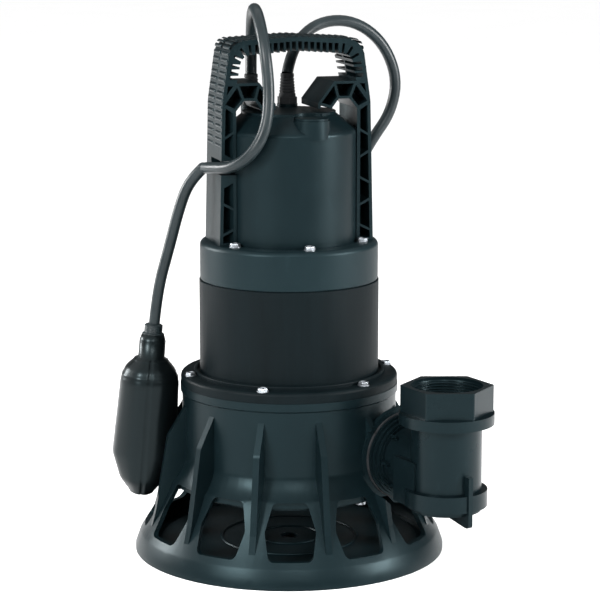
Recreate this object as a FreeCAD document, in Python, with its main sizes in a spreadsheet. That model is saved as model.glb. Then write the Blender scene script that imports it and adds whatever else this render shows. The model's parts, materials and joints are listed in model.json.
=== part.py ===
import FreeCAD, Part
import math
import os

import Sketcher
from FreeCAD import Placement, Rotation, Vector

# A submersible drainage pump with a float switch, in millimetres.
# The origin is on the pump's axis, in the plane of the foot's rim, and +Z is up.
# The handle is wide along X, and -Y is its front. Angles about the axis are counted from -Y towards +X.

VALUES = {
    # Foot: a flared skirt with windows and fins
    "base_radius": 135, "rim_height": 4, "foot_inset": 4, "foot_height": 15,
    "shoulder_radius": 104, "shoulder_height": 66, "flare_sag": 1.4, "neck_sag": 1.6,
    "skirt_wall": 4.3, "foot_wall": 7.6, "rim_wall": 3.8,
    "window_count": 12, "window_bottom": 21.5, "window_middle": 43, "window_top": 66,
    "window_foot_width": 37, "window_middle_width": 43, "window_top_width": 28, "window_rounding": 5,
    "fin_thickness": 5.5, "fin_top": 131, "fin_knee_height": 106, "fin_knee_reach": 15.5,
    "fin_waist_height": 41, "fin_waist_inset": 15, "fin_toe_height": 22, "fin_toe_inset": 10,
    "fin_knee_rounding": 8, "fin_root": 1.5,
    # Pump chamber and the flange on top of it
    "wall_radius": 93, "neck_height": 86, "chamber_radius": 88.5, "chamber_floor": 66,
    "ledge_bore": 80, "ledge_thickness": 6, "ledge_reach": 2.5, "chamber_roof": 130, "chamber_roof_slope": 4,
    "carrier_seat": 140, "carrier_bore": 82.5, "carrier_step": 76,
    "body_flange_bottom": 140, "body_flange_radius": 94.4, "body_top": 148, "flange_bevel": 1.4,
    # Outlet: tangential stub, round flange, ring, seal and elbow
    "outlet_angle": 15, "outlet_offset": 59, "outlet_height": 94, "outlet_bore": 25, "stub_radius": 31,
    "outlet_reach": 93, "outlet_flange_radius": 42, "outlet_flange_thickness": 5,
    "stub_depth": 55, "outlet_seal_thickness": 2, "seal_room": 2, "foot_overhang": 45, "outlet_seal_radius": 38,
    "ring_first_radius": 37, "ring_second_radius": 35, "ring_third_radius": 33, "ring_step": 3.6,
    "ring_groove": 2.2, "elbow_reach": 156, "arm_radius": 28.5, "elbow_wall_radius": 29.5, "elbow_bore": 25,
    "elbow_sole": 62, "elbow_sole_thickness": 4,
    "elbow_top": 167, "hexagon_height": 22.5, "hexagon_flats": 67.5, "socket_radius": 29.8, "socket_depth": 24,
    "bead_height": 9, "bead_radius": 39.6,
    "gusset_thickness": 4, "gusset_bottom": 62, "gusset_reach": 36, "gusset_top": 96, "gusset_root": 12,
    "arm_fin_thickness": 2.4, "arm_fin_radius": 32, "cup_top": 80, "cup_bottom": 66, "cup_radius": 34.5,
    "saddle_top": 104, "saddle_radius": 31.5,
    # Foot plate and suction plate
    "plate_bore": 7.5, "plate_gap": 0.3, "plate_lift": 5, "plate_thickness": 3, "plate_ring_rise": 1.2,
    "plate_first_ring": 27, "plate_second_ring": 59, "plate_ring_width": 3, "plate_rim_bottom": 0.8,
    "plate_dish_radius": 112, "plate_dish_slope": 8,
    "eye_radius": 27, "suction_plate_radius": 90, "suction_plate_thickness": 4.5, "eye_lip_height": 9,
    "eye_lip_wall": 4, "suction_screw_circle": 85, "suction_screw_length": 9,
    # Impeller and what clamps it
    "impeller_radius": 56, "impeller_bottom": 98, "hub_radius": 15, "hub_height": 18, "disc_bottom": 109,
    "disc_thickness": 3.6, "vane_count": 8, "vane_width": 4, "vane_bottom": 96.5, "vane_sweep": 5,
    "nut_flats": 19, "nut_height": 8, "washer_radius": 12, "washer_thickness": 2,
    "key_width": 5, "key_depth": 2.5, "key_height": 5, "key_length": 14, "key_bottom": 100,
    # Shaft, bearings and seals
    "shaft_bottom": 86, "thread_radius": 6, "seat_radius": 8, "journal_radius": 8.45, "collar_radius": 13,
    "rotor_seat_radius": 10, "shaft_neck_radius": 9, "upper_journal_radius": 7.45, "shaft_top": 253,
    "running_gap": 0.05, "seat_gap": 0.05, "journal_bottom": 153.8,
    "seal_head_radius": 13, "seal_head_bottom": 120, "seal_face": 126, "seal_seat_radius": 14,
    "seal_seat_height": 5, "seal_wire_radius": 0.6, "seal_spring_radius": 11,
    "carrier_bottom": 124, "carrier_floor": 130.5, "carrier_wall": 7, "carrier_hub_top": 137,
    "carrier_hub_radius": 20, "carrier_gap": 0.3, "oring_groove": 2, "oring_width": 3.4, "oring_radius": 1.1,
    "lip_seal_radius": 14, "lip_gap": 0.3, "lip_seal_height": 5.6,
    "lower_bearing_radius": 20, "lower_bearing_height": 12, "lower_bearing_bottom": 154,
    "upper_bearing_radius": 17.5, "upper_bearing_height": 11, "upper_bearing_bottom": 240,
    "shield_recess": 0.8, "race_width": 3, "wave_washer_width": 4, "wave_washer_thickness": 0.9,
    # Motor
    "bracket_disc": 8, "bracket_rim": 4, "bracket_hub_wall": 5, "bracket_gap": 0.3,
    "lower_bracket_height": 18, "upper_bracket_height": 10, "upper_bracket_disc": 5,
    "frame_wall": 2.4, "frame_ledge_height": 180, "frame_ledge": 3.6, "frame_ledge_thickness": 2,
    "core_height": 40, "core_gap": 0.4, "air_gap": 0.4, "rotor_radius": 38,
    "winding_inner": 44, "winding_outer": 65, "winding_lower_height": 14, "winding_upper_height": 8,
    "end_ring_inner": 26, "end_ring_outer": 37, "end_ring_height": 5, "collar_height": 14.5,
    # Motor casing
    "casing_flange_radius": 94, "casing_flange_thickness": 9, "casing_flange_rounding": 3.2,
    "lip_outer": 82.6, "lip_inner": 79.4, "lip_height": 3.2, "lip_rounding": 1,
    "casing_radius": 77.4, "casing_bore": 73.3, "casing_top": 239, "seam_bevel": 0.7,
    "ring_inner": 56, "ring_outer": 72.4, "ring_height": 9, "ring_floor": 3,
    "flange_screw_circle": 87.8, "flange_screw_count": 6, "flange_screw_length": 18,
    # Motor cover and cap
    "cover_radius": 76.7, "cover_bore": 72.7, "cover_top": 272.5, "cover_plate": 4.5, "cover_rounding": 4.5,
    "cover_groove_radius": 61, "cover_groove_width": 1.6, "cover_groove_depth": 1, "cap_gap": 0.4,
    "cap_radius": 58, "cap_wall": 3.5, "cap_flange_radius": 72.2, "cap_flange_thickness": 5,
    "cap_eaves": 367, "cap_cone_top": 380.8, "cap_disc_radius": 40, "cap_top": 383, "cap_rounding": 5,
    "boss_radius": 5.8, "cover_screw_circle": 64.4, "cover_screw_count": 6, "cover_screw_bite": 8,
    "plug_across": 7.6, "plug_front": 43.6, "plug_boss_radius": 15.6, "plug_boss_top": 378.6,
    "cap_plug_radius": 14.3, "cap_plug_thickness": 2, "cap_plug_stem": 9,
    "cap_plug_depth": 6, "cap_plug_gap": 0.5, "cap_plug_rounding": 0.8,
    # Screws
    "screw_radius": 2.5, "screw_gap": 0.1, "screw_head_radius": 4.6, "screw_head_height": 3.2,
    "screw_washer_radius": 4.9, "screw_washer_thickness": 0.9,
    # Glands, cable and cord
    "cable_radius": 4.9, "gland_boss_radius": 9, "gland_boss_top": 385.5, "gland_boss_bottom": 370,
    "gland_flats": 15.5, "gland_nut_height": 6, "relief_foot_radius": 7.4, "relief_tip_radius": 5.8,
    "relief_height": 20, "gland_bore": 5.1,
    "float_gland_across": -23.5, "float_gland_back": 37, "power_gland_across": 8, "power_gland_back": 34,
    "route_share": 0.45, "joint_gap": 0.3,
    # Cord coil, its ties and the plug
    "coil_radius": 77.4, "coil_columns": 4, "coil_layers": 5, "coil_distance": 250, "yard_turn": 15.5,
    "tie_thickness": 1, "tie_width": 9, "tie_gap": 0.2, "tie_angle": 30, "tie_pitch": 110,
    "plug_radius": 19, "plug_grip_radius": 13, "plug_length": 46, "plug_face_length": 16,
    "plug_pin_radius": 2.4, "plug_pin_length": 19, "plug_pin_spacing": 19, "plug_offset": 66, "plug_start": -5,
    # Float, hung from the notch
    "float_across": -125.3, "float_back": 33.7, "float_bottom": 50, "float_turn": -12, "float_tilt": 4.9,
    "float_wall": 2.6, "float_foot_half": 10, "float_foot_width": 18,
    "float_chine_height": 12, "float_chine_half": 20, "float_chine_width": 26,
    "float_belly_height": 34, "float_belly_half": 28, "float_belly_width": 27.5,
    "float_shoulder_height": 100, "float_shoulder_half": 25.5, "float_shoulder_width": 26.5,
    "float_brow_height": 110, "float_brow_half": 22, "float_brow_width": 23.5,
    "float_crown_height": 118, "float_crown_half": 14, "float_crown_width": 15,
    "float_neck_radius": 11.5, "float_neck_bore": 8.7, "float_neck_top": 134, "float_cone_top": 140,
    "float_collar_radius": 8, "float_collar_top": 148, "float_stem_bottom": 100, "float_cable_stop": 124,
    "channel_radius": 10.4, "channel_wall": 1.6, "channel_bottom": 30,
    "ball_radius": 9.5, "ball_gap": 0.3, "switch_width": 20, "switch_depth": 8, "switch_height": 14,
    # What the cap holds
    "tray_top": 277, "tray_thickness": 2.5, "tray_bore": 26, "capacitor_radius": 17, "capacitor_length": 62,
    "capacitor_across": 4, "capacitor_front": 33, "block_length": 46, "block_width": 16, "block_height": 22,
    "block_back": 29,
    # Handle
    "handle_depth": 52, "handle_foot_half": 67.5, "handle_knee_half": 64.6, "handle_knee_height": 392,
    "handle_corner_half": 57.3, "handle_corner_height": 443.5, "handle_crown": 447, "handle_corner_rounding": 16,
    "handle_knee_rounding": 60, "crown_rounding": 260, "grip_underside": 435, "grip_inner_half": 47.5,
    "grip_inner_height": 431.8, "grip_inner_rounding": 9, "handle_gap": 0.8, "post_inner_half": 50,
    "hook_top": 409, "hook_outer_half": 52, "hook_flat_half": 32.5, "hook_tip_half": 18.5, "hook_foot_half": 31,
    "hook_heel": 391, "hook_arch_top": 394.2, "hook_arch_inner": 36.5, "hook_arch_outer": 46,
    "hook_arch_heel": 387, "hook_arch_spring": 386, "hook_spring_half": 52.7,
    "skin": 2.8, "rib": 2.2, "web": 3, "liner": 2.4,
    "truss_top": 388.6, "truss_wide": 24, "truss_narrow": 12.5, "truss_count": 3, "truss_inner_half": 53,
    "notch_bottom": 332.5, "notch_top": 344.5, "notch_depth": 36,
    "tooth": 1.9, "tooth_pitch": 5.3, "grip_skin": 3.4, "fan_reach": 18, "fan_width": 2.2,
}

FIRST_DIRECTION = -90  # the angle from +X to -Y, where the angles about the pump's axis start

document = FreeCAD.newDocument("DrainagePump")
parts = {}


class Size:
    """A number together with the spreadsheet expression that gives it."""

    def __init__(self, number, text):
        self.number = number
        self.text = text

    def __add__(self, other):
        other = as_size(other)
        return Size(self.number + other.number, f"({self.text} + {other.text})")

    def __sub__(self, other):
        other = as_size(other)
        return Size(self.number - other.number, f"({self.text} - {other.text})")

    def __mul__(self, other):
        other = as_size(other)
        return Size(self.number * other.number, f"({self.text} * {other.text})")

    def __truediv__(self, other):
        other = as_size(other)
        return Size(self.number / other.number, f"({self.text} / {other.text})")

    def __radd__(self, other):
        return as_size(other) + self

    def __rsub__(self, other):
        return as_size(other) - self

    def __rmul__(self, other):
        return as_size(other) * self

    def __rtruediv__(self, other):
        return as_size(other) / self

    def __neg__(self):
        return Size(-self.number, f"(0 - {self.text})")


def as_size(value):
    if isinstance(value, Size):
        return value
    return Size(float(value), f"({float(value)!r})")


def sine(angle):
    angle = as_size(angle)
    return Size(math.sin(math.radians(angle.number)), f"sin({angle.text} * 1 deg)")


def cosine(angle):
    angle = as_size(angle)
    return Size(math.cos(math.radians(angle.number)), f"cos({angle.text} * 1 deg)")


def root(value):
    return Size(math.sqrt(value.number), f"sqrt({value.text})")


class Sizes:
    """The driving dimensions, kept in a spreadsheet and read back by name."""

    def __init__(self, values):
        self.sheet = document.addObject("Spreadsheet::Sheet", "Sizes")
        for row, (name, value) in enumerate(values.items(), start=1):
            self.sheet.set(f"A{row}", name)
            self.sheet.set(f"B{row}", str(value))
            self.sheet.setAlias(f"B{row}", name)
        document.recompute()

    def __getattr__(self, name):
        return Size(float(self.sheet.get(name)), f"Sizes.{name}")


dim = Sizes(VALUES)


# Sketches


def bind(owner, path, value):
    owner.setExpression(path, as_size(value).text)


def sketch_on(body, plane="XZ_Plane", shift=None, turn=None):
    """A sketch on one of the body's own origin planes, shifted along its axes or turned about its upright."""
    sketch = body.newObject("Sketcher::SketchObject", "Sketch")
    support = [feature for feature in body.Origin.OriginFeatures if feature.Role == plane][0]
    sketch.AttachmentSupport = [(support, "")]
    sketch.MapMode = "FlatFace"
    if turn is not None:
        sketch.AttachmentOffset = Placement(Vector(0, 0, 0), Rotation(Vector(0, 1, 0), as_size(turn).number))
        bind(sketch, "AttachmentOffset.Rotation.Angle", turn)
    for letter, value in (shift or {}).items():
        bind(sketch, f"AttachmentOffset.Base.{letter}", value)
    return sketch


def corner(across, up, rounding=None, bulge=None):
    """A corner of an outline, with its rounding or the height of the arc that leaves it on the left."""
    return as_size(across), as_size(up), rounding, bulge


class Outline:
    """Draws closed outlines of lines and arcs, with every corner's place tied to the sizes."""

    def __init__(self, sketch):
        self.sketch = sketch
        self.constraints = []
        self.ties = []

    def tie(self, value, *constraint):
        self.ties.append((len(self.constraints), as_size(value)))
        self.constraints.append(Sketcher.Constraint(*constraint, as_size(value).number))

    def hold(self, kind, *places):
        self.constraints.append(Sketcher.Constraint(kind, *places))

    def place(self, curve, end, across, up):
        """Ties one end of a curve to its distances from the sketch's origin."""
        if across.number == 0:
            self.hold("PointOnObject", curve, end, -2)
        else:
            self.tie(across, "DistanceX", -1, 1, curve, end)
        if up.number == 0:
            self.hold("PointOnObject", curve, end, -1)
        else:
            self.tie(up, "DistanceY", -1, 1, curve, end)

    def arc(self, start, end, centre):
        """An arc about the centre, the short way round, with the numbers of its two ends."""
        first = math.atan2(start.y - centre.y, start.x - centre.x)
        last = math.atan2(end.y - centre.y, end.x - centre.x)
        leftward = (last - first) % (2 * math.pi) < math.pi
        if not leftward:
            first, last = last, first
        circle = Part.Circle(centre, Vector(0, 0, 1), (start - centre).Length)
        last = first + (last - first) % (2 * math.pi)
        number = self.sketch.addGeometry(Part.ArcOfCircle(circle, first, last))
        return (number, 1, 2) if leftward else (number, 2, 1)

    def loop(self, corners):
        spots = [Vector(across.number, up.number, 0) for across, up, _, _ in corners]
        count = len(corners)
        starts = list(spots)
        ends = list(spots)
        centres = [None] * count
        for index, (_, _, rounding, _) in enumerate(corners):
            if rounding is None:
                continue
            spot = spots[index]
            back = (spots[index - 1] - spot).normalize()
            ahead = (spots[(index + 1) % count] - spot).normalize()
            half = back.getAngle(ahead) / 2
            radius = as_size(rounding).number
            starts[index] = spot + back * (radius / math.tan(half))
            ends[index] = spot + ahead * (radius / math.tan(half))
            centres[index] = spot + (back + ahead).normalize() * (radius / math.sin(half))
        curves = []
        for index, (_, _, rounding, bulge) in enumerate(corners):
            after = (index + 1) % count
            if rounding is not None:
                curve = self.arc(starts[index], ends[index], centres[index])
                curves.append((*curve, index, "rounding"))
            if bulge is None:
                line = Part.LineSegment(ends[index], starts[after])
                curves.append((self.sketch.addGeometry(line), 1, 2, index, "run"))
            else:
                curves.append((*self.bulged(corners, spots, index, after), index, "run"))
        self.join(corners, spots, curves)

    def bulged(self, corners, spots, index, after):
        """An arc that rises to the left of the straight way to the next corner, or to the right if negative."""
        bulge = as_size(corners[index][3])
        chord = spots[after] - spots[index]
        left = Vector(-chord.y, chord.x, 0).normalize()
        rise = bulge if bulge.number > 0 else -bulge
        wide = corners[after][0] - corners[index][0]
        high = corners[after][1] - corners[index][1]
        radius = (wide * wide + high * high) / (8 * rise) + rise / 2
        side = 1 if bulge.number > 0 else -1
        centre = spots[index] + chord * 0.5 - left * side * (radius.number - rise.number)
        curve = self.arc(spots[index], spots[after], centre)
        self.tie(radius, "Radius", curve[0])
        return curve

    def join(self, corners, spots, curves):
        for place, (number, start, _, index, kind) in enumerate(curves):
            before, _, before_end, _, before_kind = curves[place - 1]
            smooth = "rounding" in (kind, before_kind)
            self.hold("Tangent" if smooth else "Coincident", before, before_end, number, start)
            across, up, rounding, _ = corners[index]
            if kind == "rounding":
                self.tie(rounding, "Radius", number)
                after = curves[(place + 1) % len(curves)][0]
                spot = self.sketch.addGeometry(Part.Point(spots[index]), True)
                self.place(spot, 1, across, up)
                self.hold("PointOnObject", spot, 1, before)
                self.hold("PointOnObject", spot, 1, after)
            elif rounding is None:
                self.place(number, start, across, up)

    def circle(self, across, up, radius):
        across, up, radius = as_size(across), as_size(up), as_size(radius)
        shape = Part.Circle(Vector(across.number, up.number, 0), Vector(0, 0, 1), radius.number)
        number = self.sketch.addGeometry(shape)
        self.place(number, 3, across, up)
        self.tie(radius, "Radius", number)

    def finish(self):
        self.sketch.addConstraint(self.constraints)
        for number, value in self.ties:
            if "Sizes" in value.text:
                bind(self.sketch, f"Constraints[{number}]", value)
        return self.sketch


def outline(body, loops, circles=(), **place):
    drawing = Outline(sketch_on(body, **place))
    for corners in loops:
        drawing.loop(corners)
    for circle in circles:
        drawing.circle(*circle)
    return drawing.finish()


# Features


def new_body(label):
    body = document.addObject("PartDesign::Body", label)
    body.Label = label
    parts[label] = body
    return body


def revolve(body, corners, cut=False):
    """Turns an outline of radii and heights about the body's upright axis, as material or as a cut."""
    sketch = outline(body, [corners])
    kind = "PartDesign::Groove" if cut else "PartDesign::Revolution"
    feature = body.newObject(kind, "Turned")
    feature.Profile = sketch
    feature.ReferenceAxis = (sketch, ["V_Axis"])
    feature.Angle = 360
    return feature


def extrude(body, sketch, length, cut=False, both=False, backward=False):
    feature = body.newObject("PartDesign::Pocket" if cut else "PartDesign::Pad", "Extruded")
    feature.Profile = sketch
    feature.Length = as_size(length).number
    bind(feature, "Length", length)
    feature.Midplane = both
    feature.Reversed = backward
    return feature


def around(body, feature, count):
    """Repeats a feature round the body's upright axis."""
    pattern = body.newObject("PartDesign::PolarPattern", "Ring")
    pattern.Originals = [feature]
    axis = [part for part in body.Origin.OriginFeatures if part.Role == "Z_Axis"][0]
    pattern.Axis = (axis, [""])
    pattern.Angle = 360
    pattern.Occurrences = int(as_size(count).number)
    if isinstance(count, Size):
        bind(pattern, "Occurrences", count)
    body.Tip = pattern
    return pattern


def turned(label, corners):
    """A body that is one turned outline."""
    body = new_body(label)
    revolve(body, corners)
    return body


def on_circle(radius, angle):
    """The place at a radius and at an angle counted from -Y towards +X."""
    return radius * sine(angle), -(radius * cosine(angle))


def drill_ring(body, circle, angle, radius, top, depth, count):
    """A ring of equal holes, drilled down from a height."""
    across, back = on_circle(circle, angle)
    sketch = outline(body, [], [(across, back, radius)], plane="XY_Plane", shift={"z": top})
    around(body, extrude(body, sketch, depth, cut=True), count)


def regular_corners(flats, count=6, turn=0.0, rounding=None):
    """The corners of a regular polygon with the given distance across its flats."""
    reach = flats / (2 * math.cos(math.pi / count))
    steps = [math.radians(turn + 360 / count * (step + 0.5)) for step in range(count)]
    return [corner(reach * math.cos(step), reach * math.sin(step), rounding) for step in steps]


def turn_about_axis(body, angle):
    body.Placement = Placement(Vector(0, 0, 0), Rotation(Vector(0, 0, 1), as_size(angle).number))
    bind(body, "Placement.Rotation.Angle", angle)


def turned_solid(profile):
    points = [Vector(as_size(radius).number, 0, as_size(up).number) for radius, up in profile]
    face = Part.Face(Part.makePolygon(points + [points[0]]))
    return face.revolve(Vector(0, 0, 0), Vector(0, 0, 1), 360)


def add_shape(label, shape, placement=Placement()):
    part = document.addObject("Part::Feature", label)
    part.Shape = shape
    part.Placement = placement
    parts[label] = part


# Pump body and foot


def fin_corners():
    """A fin's outline from the chamber wall, out to its knee and down to the foot."""
    knee = dim.wall_radius + dim.fin_knee_reach
    foot = dim.base_radius - dim.foot_inset
    return [
        corner(foot - dim.fin_root, dim.foot_height - 0.5),
        corner(foot - 0.4, dim.foot_height + 0.4),
        corner(dim.base_radius - dim.fin_toe_inset, dim.fin_toe_height),
        corner(dim.base_radius - dim.fin_waist_inset, dim.fin_waist_height),
        corner(knee, dim.fin_knee_height, rounding=dim.fin_knee_rounding),
        corner(dim.wall_radius, dim.fin_top),
        corner(dim.wall_radius - dim.fin_root, dim.fin_top),
        corner(dim.wall_radius - dim.fin_root, dim.neck_height, bulge=-dim.neck_sag),
        corner(dim.shoulder_radius - dim.fin_root, dim.shoulder_height, bulge=-dim.flare_sag),
    ]


def make_pump_body():
    """The foot, the chamber wall, the flange and the outlet, in one moulding turned to the outlet's angle."""
    body = new_body("pump_body")
    revolve(body, [
        corner(0, 0),
        corner(dim.base_radius, 0),
        corner(dim.base_radius, dim.rim_height),
        corner(dim.base_radius - dim.foot_inset, dim.foot_height, bulge=dim.flare_sag),
        corner(dim.shoulder_radius, dim.shoulder_height, bulge=dim.neck_sag),
        corner(dim.wall_radius, dim.neck_height),
        corner(dim.wall_radius, dim.body_flange_bottom),
        corner(dim.body_flange_radius, dim.body_flange_bottom + dim.flange_bevel),
        corner(dim.body_flange_radius, dim.body_top),
        corner(0, dim.body_top),
    ])
    window_start = dim.shoulder_radius - dim.skirt_wall - 0.6
    window = outline(body, [[
        corner(-dim.window_foot_width / 2, dim.window_bottom, dim.window_rounding),
        corner(dim.window_foot_width / 2, dim.window_bottom, dim.window_rounding),
        corner(dim.window_middle_width / 2, dim.window_middle, dim.window_rounding * 2),
        corner(dim.window_top_width / 2, dim.window_top, dim.window_rounding),
        corner(-dim.window_top_width / 2, dim.window_top, dim.window_rounding),
        corner(-dim.window_middle_width / 2, dim.window_middle, dim.window_rounding * 2),
    ]], shift={"z": window_start})
    cut = extrude(body, window, dim.base_radius, cut=True, backward=True)
    around(body, cut, dim.window_count)
    half_pitch = 180 / dim.window_count
    fin = outline(body, [fin_corners()], turn=half_pitch + FIRST_DIRECTION)
    around(body, extrude(body, fin, dim.fin_thickness, both=True), dim.window_count)
    stub = outline(body, [], [(dim.outlet_offset, dim.outlet_height, dim.stub_radius)],
                   shift={"z": dim.outlet_reach - dim.stub_depth})
    extrude(body, stub, dim.stub_depth)
    flange = outline(body, [], [(dim.outlet_offset, dim.outlet_height, dim.outlet_flange_radius)],
                     shift={"z": dim.outlet_reach - dim.outlet_flange_thickness})
    extrude(body, flange, dim.outlet_flange_thickness)
    foot = dim.base_radius - dim.foot_inset
    revolve(body, [
        corner(0, -1),
        corner(dim.base_radius - dim.rim_wall, -1),
        corner(dim.base_radius - dim.rim_wall, dim.rim_height),
        corner(dim.base_radius - dim.foot_wall, dim.rim_height),
        corner(foot - dim.skirt_wall, dim.foot_height, bulge=dim.flare_sag),
        corner(dim.shoulder_radius - dim.skirt_wall + dim.ledge_reach, dim.chamber_floor - dim.ledge_thickness),
        corner(dim.ledge_bore, dim.chamber_floor - dim.ledge_thickness),
        corner(dim.ledge_bore, dim.chamber_floor),
        corner(dim.chamber_radius, dim.chamber_floor),
        corner(dim.chamber_radius, dim.chamber_roof),
        corner(dim.carrier_step, dim.chamber_roof + dim.chamber_roof_slope),
        corner(dim.carrier_step, dim.carrier_seat),
        corner(dim.carrier_bore, dim.carrier_seat),
        corner(dim.carrier_bore, dim.body_top + 1),
        corner(0, dim.body_top + 1),
    ], cut=True)
    bore = outline(body, [], [(dim.outlet_offset, dim.outlet_height, dim.outlet_bore)],
                   shift={"z": dim.outlet_reach + 1})
    extrude(body, bore, dim.outlet_reach + 1, cut=True)
    around_seal = outline(body, [], [(dim.outlet_offset, dim.outlet_height, dim.outlet_flange_radius + dim.seal_room)],
                          shift={"z": dim.outlet_reach})
    extrude(body, around_seal, dim.foot_overhang, cut=True, backward=True)
    hole = dim.screw_radius + dim.screw_gap
    first = half_pitch
    drill_ring(body, dim.flange_screw_circle, first, hole, dim.body_top + 1, 13, dim.flange_screw_count)
    across, back = on_circle(dim.suction_screw_circle, first)
    blind = outline(body, [], [(across, back, hole)], plane="XY_Plane",
                    shift={"z": dim.chamber_floor - dim.ledge_thickness - 1})
    cut = extrude(body, blind, dim.ledge_thickness, cut=True, backward=True)
    around(body, cut, dim.flange_screw_count)
    turn_about_axis(body, dim.outlet_angle)


def make_foot_plate():
    """The dished plate under the windows, pushed up against the foot's inner step."""
    top = dim.plate_lift + dim.plate_thickness
    rim = dim.base_radius - dim.rim_wall - dim.plate_gap
    dish_foot = dim.plate_dish_radius + dim.plate_dish_slope
    corners = [
        corner(dim.plate_bore, dim.plate_lift),
        corner(dim.plate_dish_radius, dim.plate_lift),
        corner(dim.plate_dish_radius + dim.plate_dish_slope * 0.7, dim.plate_rim_bottom),
        corner(rim, dim.plate_rim_bottom),
        corner(rim, dim.rim_height),
        corner(dish_foot, dim.rim_height),
        corner(dim.plate_dish_radius, top),
    ]
    for radius in (dim.plate_second_ring, dim.plate_first_ring):
        half = dim.plate_ring_width / 2
        corners += [
            corner(radius + half, top),
            corner(radius + half * 0.6, top + dim.plate_ring_rise),
            corner(radius - half * 0.6, top + dim.plate_ring_rise),
            corner(radius - half, top),
        ]
    corners.append(corner(dim.plate_bore, top))
    turned("foot_plate", corners)


def make_suction_plate():
    """The plate with the inlet eye, screwed up against the chamber's ledge."""
    seat = dim.chamber_floor - dim.ledge_thickness
    bottom = seat - dim.suction_plate_thickness
    spigot = dim.ledge_bore - dim.plate_gap
    lip = dim.eye_radius + dim.eye_lip_wall
    body = turned("suction_plate", [
        corner(dim.eye_radius, dim.chamber_floor),
        corner(dim.eye_radius, bottom - dim.eye_lip_height + 4),
        corner(dim.eye_radius + 3, bottom - dim.eye_lip_height),
        corner(lip + 3, bottom - dim.eye_lip_height),
        corner(lip + 5, bottom),
        corner(dim.suction_plate_radius, bottom),
        corner(dim.suction_plate_radius, seat),
        corner(spigot, seat),
        corner(spigot, dim.chamber_floor),
    ])
    drill_ring(body, dim.suction_screw_circle, 180 / dim.window_count, dim.screw_radius + dim.screw_gap,
               seat, dim.suction_plate_thickness + 1, dim.flange_screw_count)
    turn_about_axis(body, dim.outlet_angle)


# Outlet


def make_outlet_seal():
    """A flat ring between the outlet flange and the elbow's ring."""
    body = new_body("outlet_seal")
    ring = outline(body, [], [(dim.outlet_offset, dim.outlet_height, dim.outlet_seal_radius),
                              (dim.outlet_offset, dim.outlet_height, dim.outlet_bore)],
                   shift={"z": dim.outlet_reach})
    extrude(body, ring, dim.outlet_seal_thickness)
    turn_about_axis(body, dim.outlet_angle)


def make_outlet_elbow():
    """The elbow with its stepped ring, its hexagonal socket, its cup and its gusset."""
    body = new_body("outlet_elbow")
    start = dim.outlet_reach + dim.outlet_seal_thickness
    centre = (dim.outlet_offset, dim.outlet_height)
    middle = (dim.outlet_offset, -dim.elbow_reach)

    def disc_along(reach, radius, length):
        extrude(body, outline(body, [], [(*centre, radius)], shift={"z": reach}), length)

    def disc_up(bottom, radius, height, cut=False):
        sketch = outline(body, [], [(*middle, radius)], plane="XY_Plane", shift={"z": bottom})
        extrude(body, sketch, height, cut=cut)

    reach = start
    for radius in (dim.ring_first_radius, dim.ring_second_radius, dim.ring_third_radius):
        disc_along(reach, radius, dim.ring_step - 1.2)
        disc_along(reach, radius - dim.ring_groove, dim.ring_step)
        reach = reach + dim.ring_step
    disc_along(start, dim.arm_radius, dim.elbow_reach - start)
    for step in range(4):
        turn = 45 * step
        half = dim.arm_fin_thickness / 2
        length = dim.arm_fin_radius
        spokes = [(-length, -half), (length, -half), (length, half), (-length, half)]
        corners = []
        for along, aside in spokes:
            across = along * cosine(turn) - aside * sine(turn) + centre[0]
            corners.append(corner(across, along * sine(turn) + aside * cosine(turn) + centre[1]))
        extrude(body, outline(body, [corners], shift={"z": reach}), 9)
    disc_up(dim.elbow_sole, dim.elbow_wall_radius, dim.elbow_top - dim.elbow_sole)
    disc_up(dim.cup_bottom, dim.cup_radius, dim.cup_top - dim.cup_bottom)
    bead_bottom = dim.elbow_top - dim.hexagon_height - dim.bead_height
    disc_up(bead_bottom, dim.bead_radius, dim.bead_height)
    saddle = outline(body, [[
        corner(middle[0] - dim.saddle_radius, middle[1]),
        corner(middle[0] + dim.saddle_radius, middle[1]),
        corner(middle[0] + dim.saddle_radius, middle[1] + dim.saddle_radius),
        corner(middle[0] - dim.saddle_radius, middle[1] + dim.saddle_radius),
    ]], plane="XY_Plane", shift={"z": dim.cup_bottom})
    extrude(body, saddle, dim.saddle_top - dim.cup_bottom)
    corners = [corner(across + middle[0], back + middle[1], rounding) for across, back, rounding, _ in
               regular_corners(dim.hexagon_flats, rounding=2)]
    hexagon = outline(body, [corners], plane="XY_Plane", shift={"z": dim.elbow_top - dim.hexagon_height})
    extrude(body, hexagon, dim.hexagon_height)
    tip = dim.elbow_reach + dim.gusset_reach
    gusset = outline(body, [[
        corner(-(start + dim.gusset_root), dim.outlet_height - dim.arm_radius + 3),
        corner(-(start + dim.gusset_root), dim.outlet_height - dim.arm_radius - 2),
        corner(-tip + 6, dim.gusset_bottom - 9, 3),
        corner(-tip, dim.gusset_bottom - 9, 3),
        corner(-tip, dim.gusset_top),
        corner(-(dim.elbow_reach + dim.elbow_wall_radius - 2), dim.gusset_top),
        corner(-(dim.elbow_reach + dim.elbow_wall_radius - 2), dim.elbow_sole + 4),
    ]], plane="YZ_Plane", shift={"z": dim.outlet_offset})
    extrude(body, gusset, dim.gusset_thickness, both=True)
    bore = outline(body, [], [(*centre, dim.elbow_bore)], shift={"z": start - 1})
    extrude(body, bore, dim.elbow_reach - start + 1, cut=True, backward=True)
    disc_up(dim.elbow_top + 1, dim.elbow_bore, dim.elbow_top + 1 - dim.elbow_sole - dim.elbow_sole_thickness,
            cut=True)
    disc_up(dim.elbow_top + 1, dim.socket_radius, dim.socket_depth + 1, cut=True)
    turn_about_axis(body, dim.outlet_angle)


# Wet end: impeller, seals and carrier


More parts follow.
